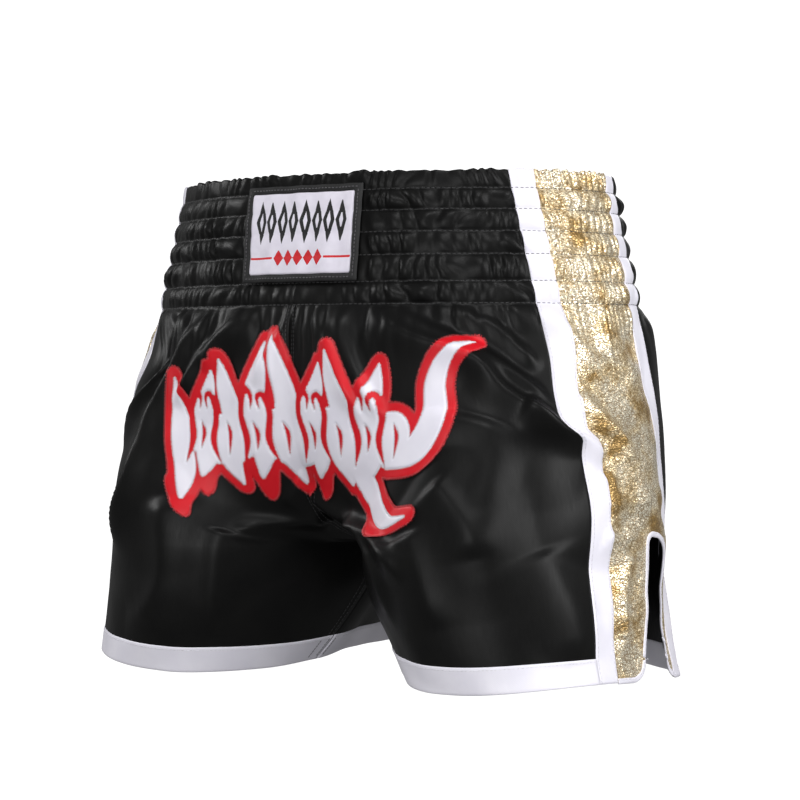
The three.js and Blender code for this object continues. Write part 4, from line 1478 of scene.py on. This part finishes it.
badge_shape = {key: draped[key] + draped_out[key] * (0.7 * small[key])[..., None] for key in KEYS}
red_points, red_rim = laid_patch(
    "badge_satin", red_field, BADGE_LOW, BADGE_HIGH, 1.1, 1.0, 0.5, 0.9, badge_shape, draped_out, RED,
    ["badge_backing"])
white_points, white_rim = laid_patch(
    "badge_scrolls", white_field, BADGE_LOW, BADGE_HIGH, 0.9, 1.45, 0.75, 1.3, badge_shape, draped_out,
    WHITE, [f"badge_scroll_{k}" for k in range(1, 8)])
edge_threads("badge_stitches_red", red_points, red_rim, 1.35, badge_shape, draped_out, 2.4,
             RED_THREAD, "red_satin")
edge_threads("badge_stitches_white", white_points, white_rim, 1.75, badge_shape, draped_out, 1.9,
             WHITE_THREAD, "white_satin")


# ---- a blank care tag inside the back of the waistband ----
def care_tag():
    columns, rows = 12, 24
    points = []
    for j in range(rows + 1):
        depth = 14 + 46 * j / rows
        for i in range(columns + 1):
            x = 24 * (i / columns - 0.5)
            y = torso(np.array(depth / HEIGHT), 3) - 6.2 - 0.8 * math.sin(j / rows * 4.0) - 0.02 * x**2 / 4
            points.append((x, float(y), -depth))
    ids = np.arange(len(points)).reshape(rows + 1, columns + 1)
    points = np.array(points)
    body, faces = two_layers(points, points + [0, 0.35, 0], grid_quads(ids, 1))
    return add_piece("care_tag_cloth", body, faces, WOVEN_WHITE, ["care_tag"],
                     np.concatenate([points[:, [0, 2]]] * 2) / 1000)


care_tag()

# ---- camera, light and floor ----
TURN, AWAY, ASIDE, CAMERA_Z = math.radians(35), 1688, 4.5, -130
camera_data = bpy.data.cameras.new("camera")
camera_data.lens, camera_data.sensor_width = 108, 36
camera = bpy.data.objects.new("camera", camera_data)
bpy.context.scene.collection.objects.link(camera)
camera.location = Vector((math.sin(TURN) * AWAY + ASIDE * math.cos(TURN),
                          -math.cos(TURN) * AWAY + ASIDE * math.sin(TURN), CAMERA_Z)) * UNIT
camera.rotation_euler = (math.pi / 2 - math.atan(32 / 2400), 0, TURN)
bpy.context.scene.camera = camera


def softbox(name, azimuth, height, away, size, watts):
    """A square light that looks at the middle of the shorts.
    Azimuth 0 is in front, and it grows towards the wearer's left."""
    data = bpy.data.lights.new(name, "AREA")
    data.shape, data.size, data.energy = "SQUARE", size, watts
    lamp = bpy.data.objects.new(name, data)
    a = math.radians(azimuth)
    lamp.location = (math.sin(a) * away, -math.cos(a) * away, height)
    lamp.rotation_euler = (Vector((0, 0, -0.18)) - lamp.location).to_track_quat("-Z", "Y").to_euler()
    bpy.context.scene.collection.objects.link(lamp)


softbox("key", 30, 1.9, 2.0, 0.8, 29)
softbox("low", 8, -0.2, 2.2, 0.9, 16)
softbox("side", 84, 0.4, 2.0, 1.2, 34)
softbox("far_side", -70, 0.7, 2.0, 0.6, 14)
softbox("back", 200, 0.9, 2.2, 1.2, 20)

world = bpy.data.worlds.new("studio")
world.use_nodes = True
world.node_tree.nodes["Background"].inputs[0].default_value = (1, 1, 1, 1)
world.node_tree.nodes["Background"].inputs[1].default_value = 0.20
bpy.context.scene.world = world
bpy.context.scene.view_settings.view_transform = "Standard"


def stage_piece(name, points, faces):
    """A floor or backdrop that only the camera sees, so that it doesn't light the cloth."""
    mesh = bpy.data.meshes.new(name)
    mesh.from_pydata(points, [], faces)
    material = bpy.data.materials.new(name)
    material.use_nodes = True
    shader = material.node_tree.nodes["Principled BSDF"]
    shader.inputs["Base Color"].default_value = (0.9, 0.9, 0.9, 1)
    shader.inputs["Roughness"].default_value = 0.9
    shader.inputs["Emission Color"].default_value = (1, 1, 1, 1)
    shader.inputs["Emission Strength"].default_value = 0.9
    mesh.materials.append(material)
    piece = bpy.data.objects.new(name, mesh)
    bpy.context.scene.collection.objects.link(piece)
    piece.visible_diffuse = piece.visible_glossy = piece.visible_shadow = False


def room():
    """A wide floor that turns up into a round wall."""
    rings = [(0.0, -1.0), (3.0, -1.0), (4.6, -0.9), (5.4, -0.4), (5.6, 0.6), (5.6, 5.0)]
    around = 48
    points = [(r * math.cos(2 * math.pi * k / around), r * math.sin(2 * math.pi * k / around), z)
              for r, z in rings for k in range(around)]
    faces = [(j * around + k, j * around + (k + 1) % around, (j + 1) * around + (k + 1) % around,
              (j + 1) * around + k) for j in range(len(rings) - 1) for k in range(around)]
    stage_piece("floor", points, faces)


room()
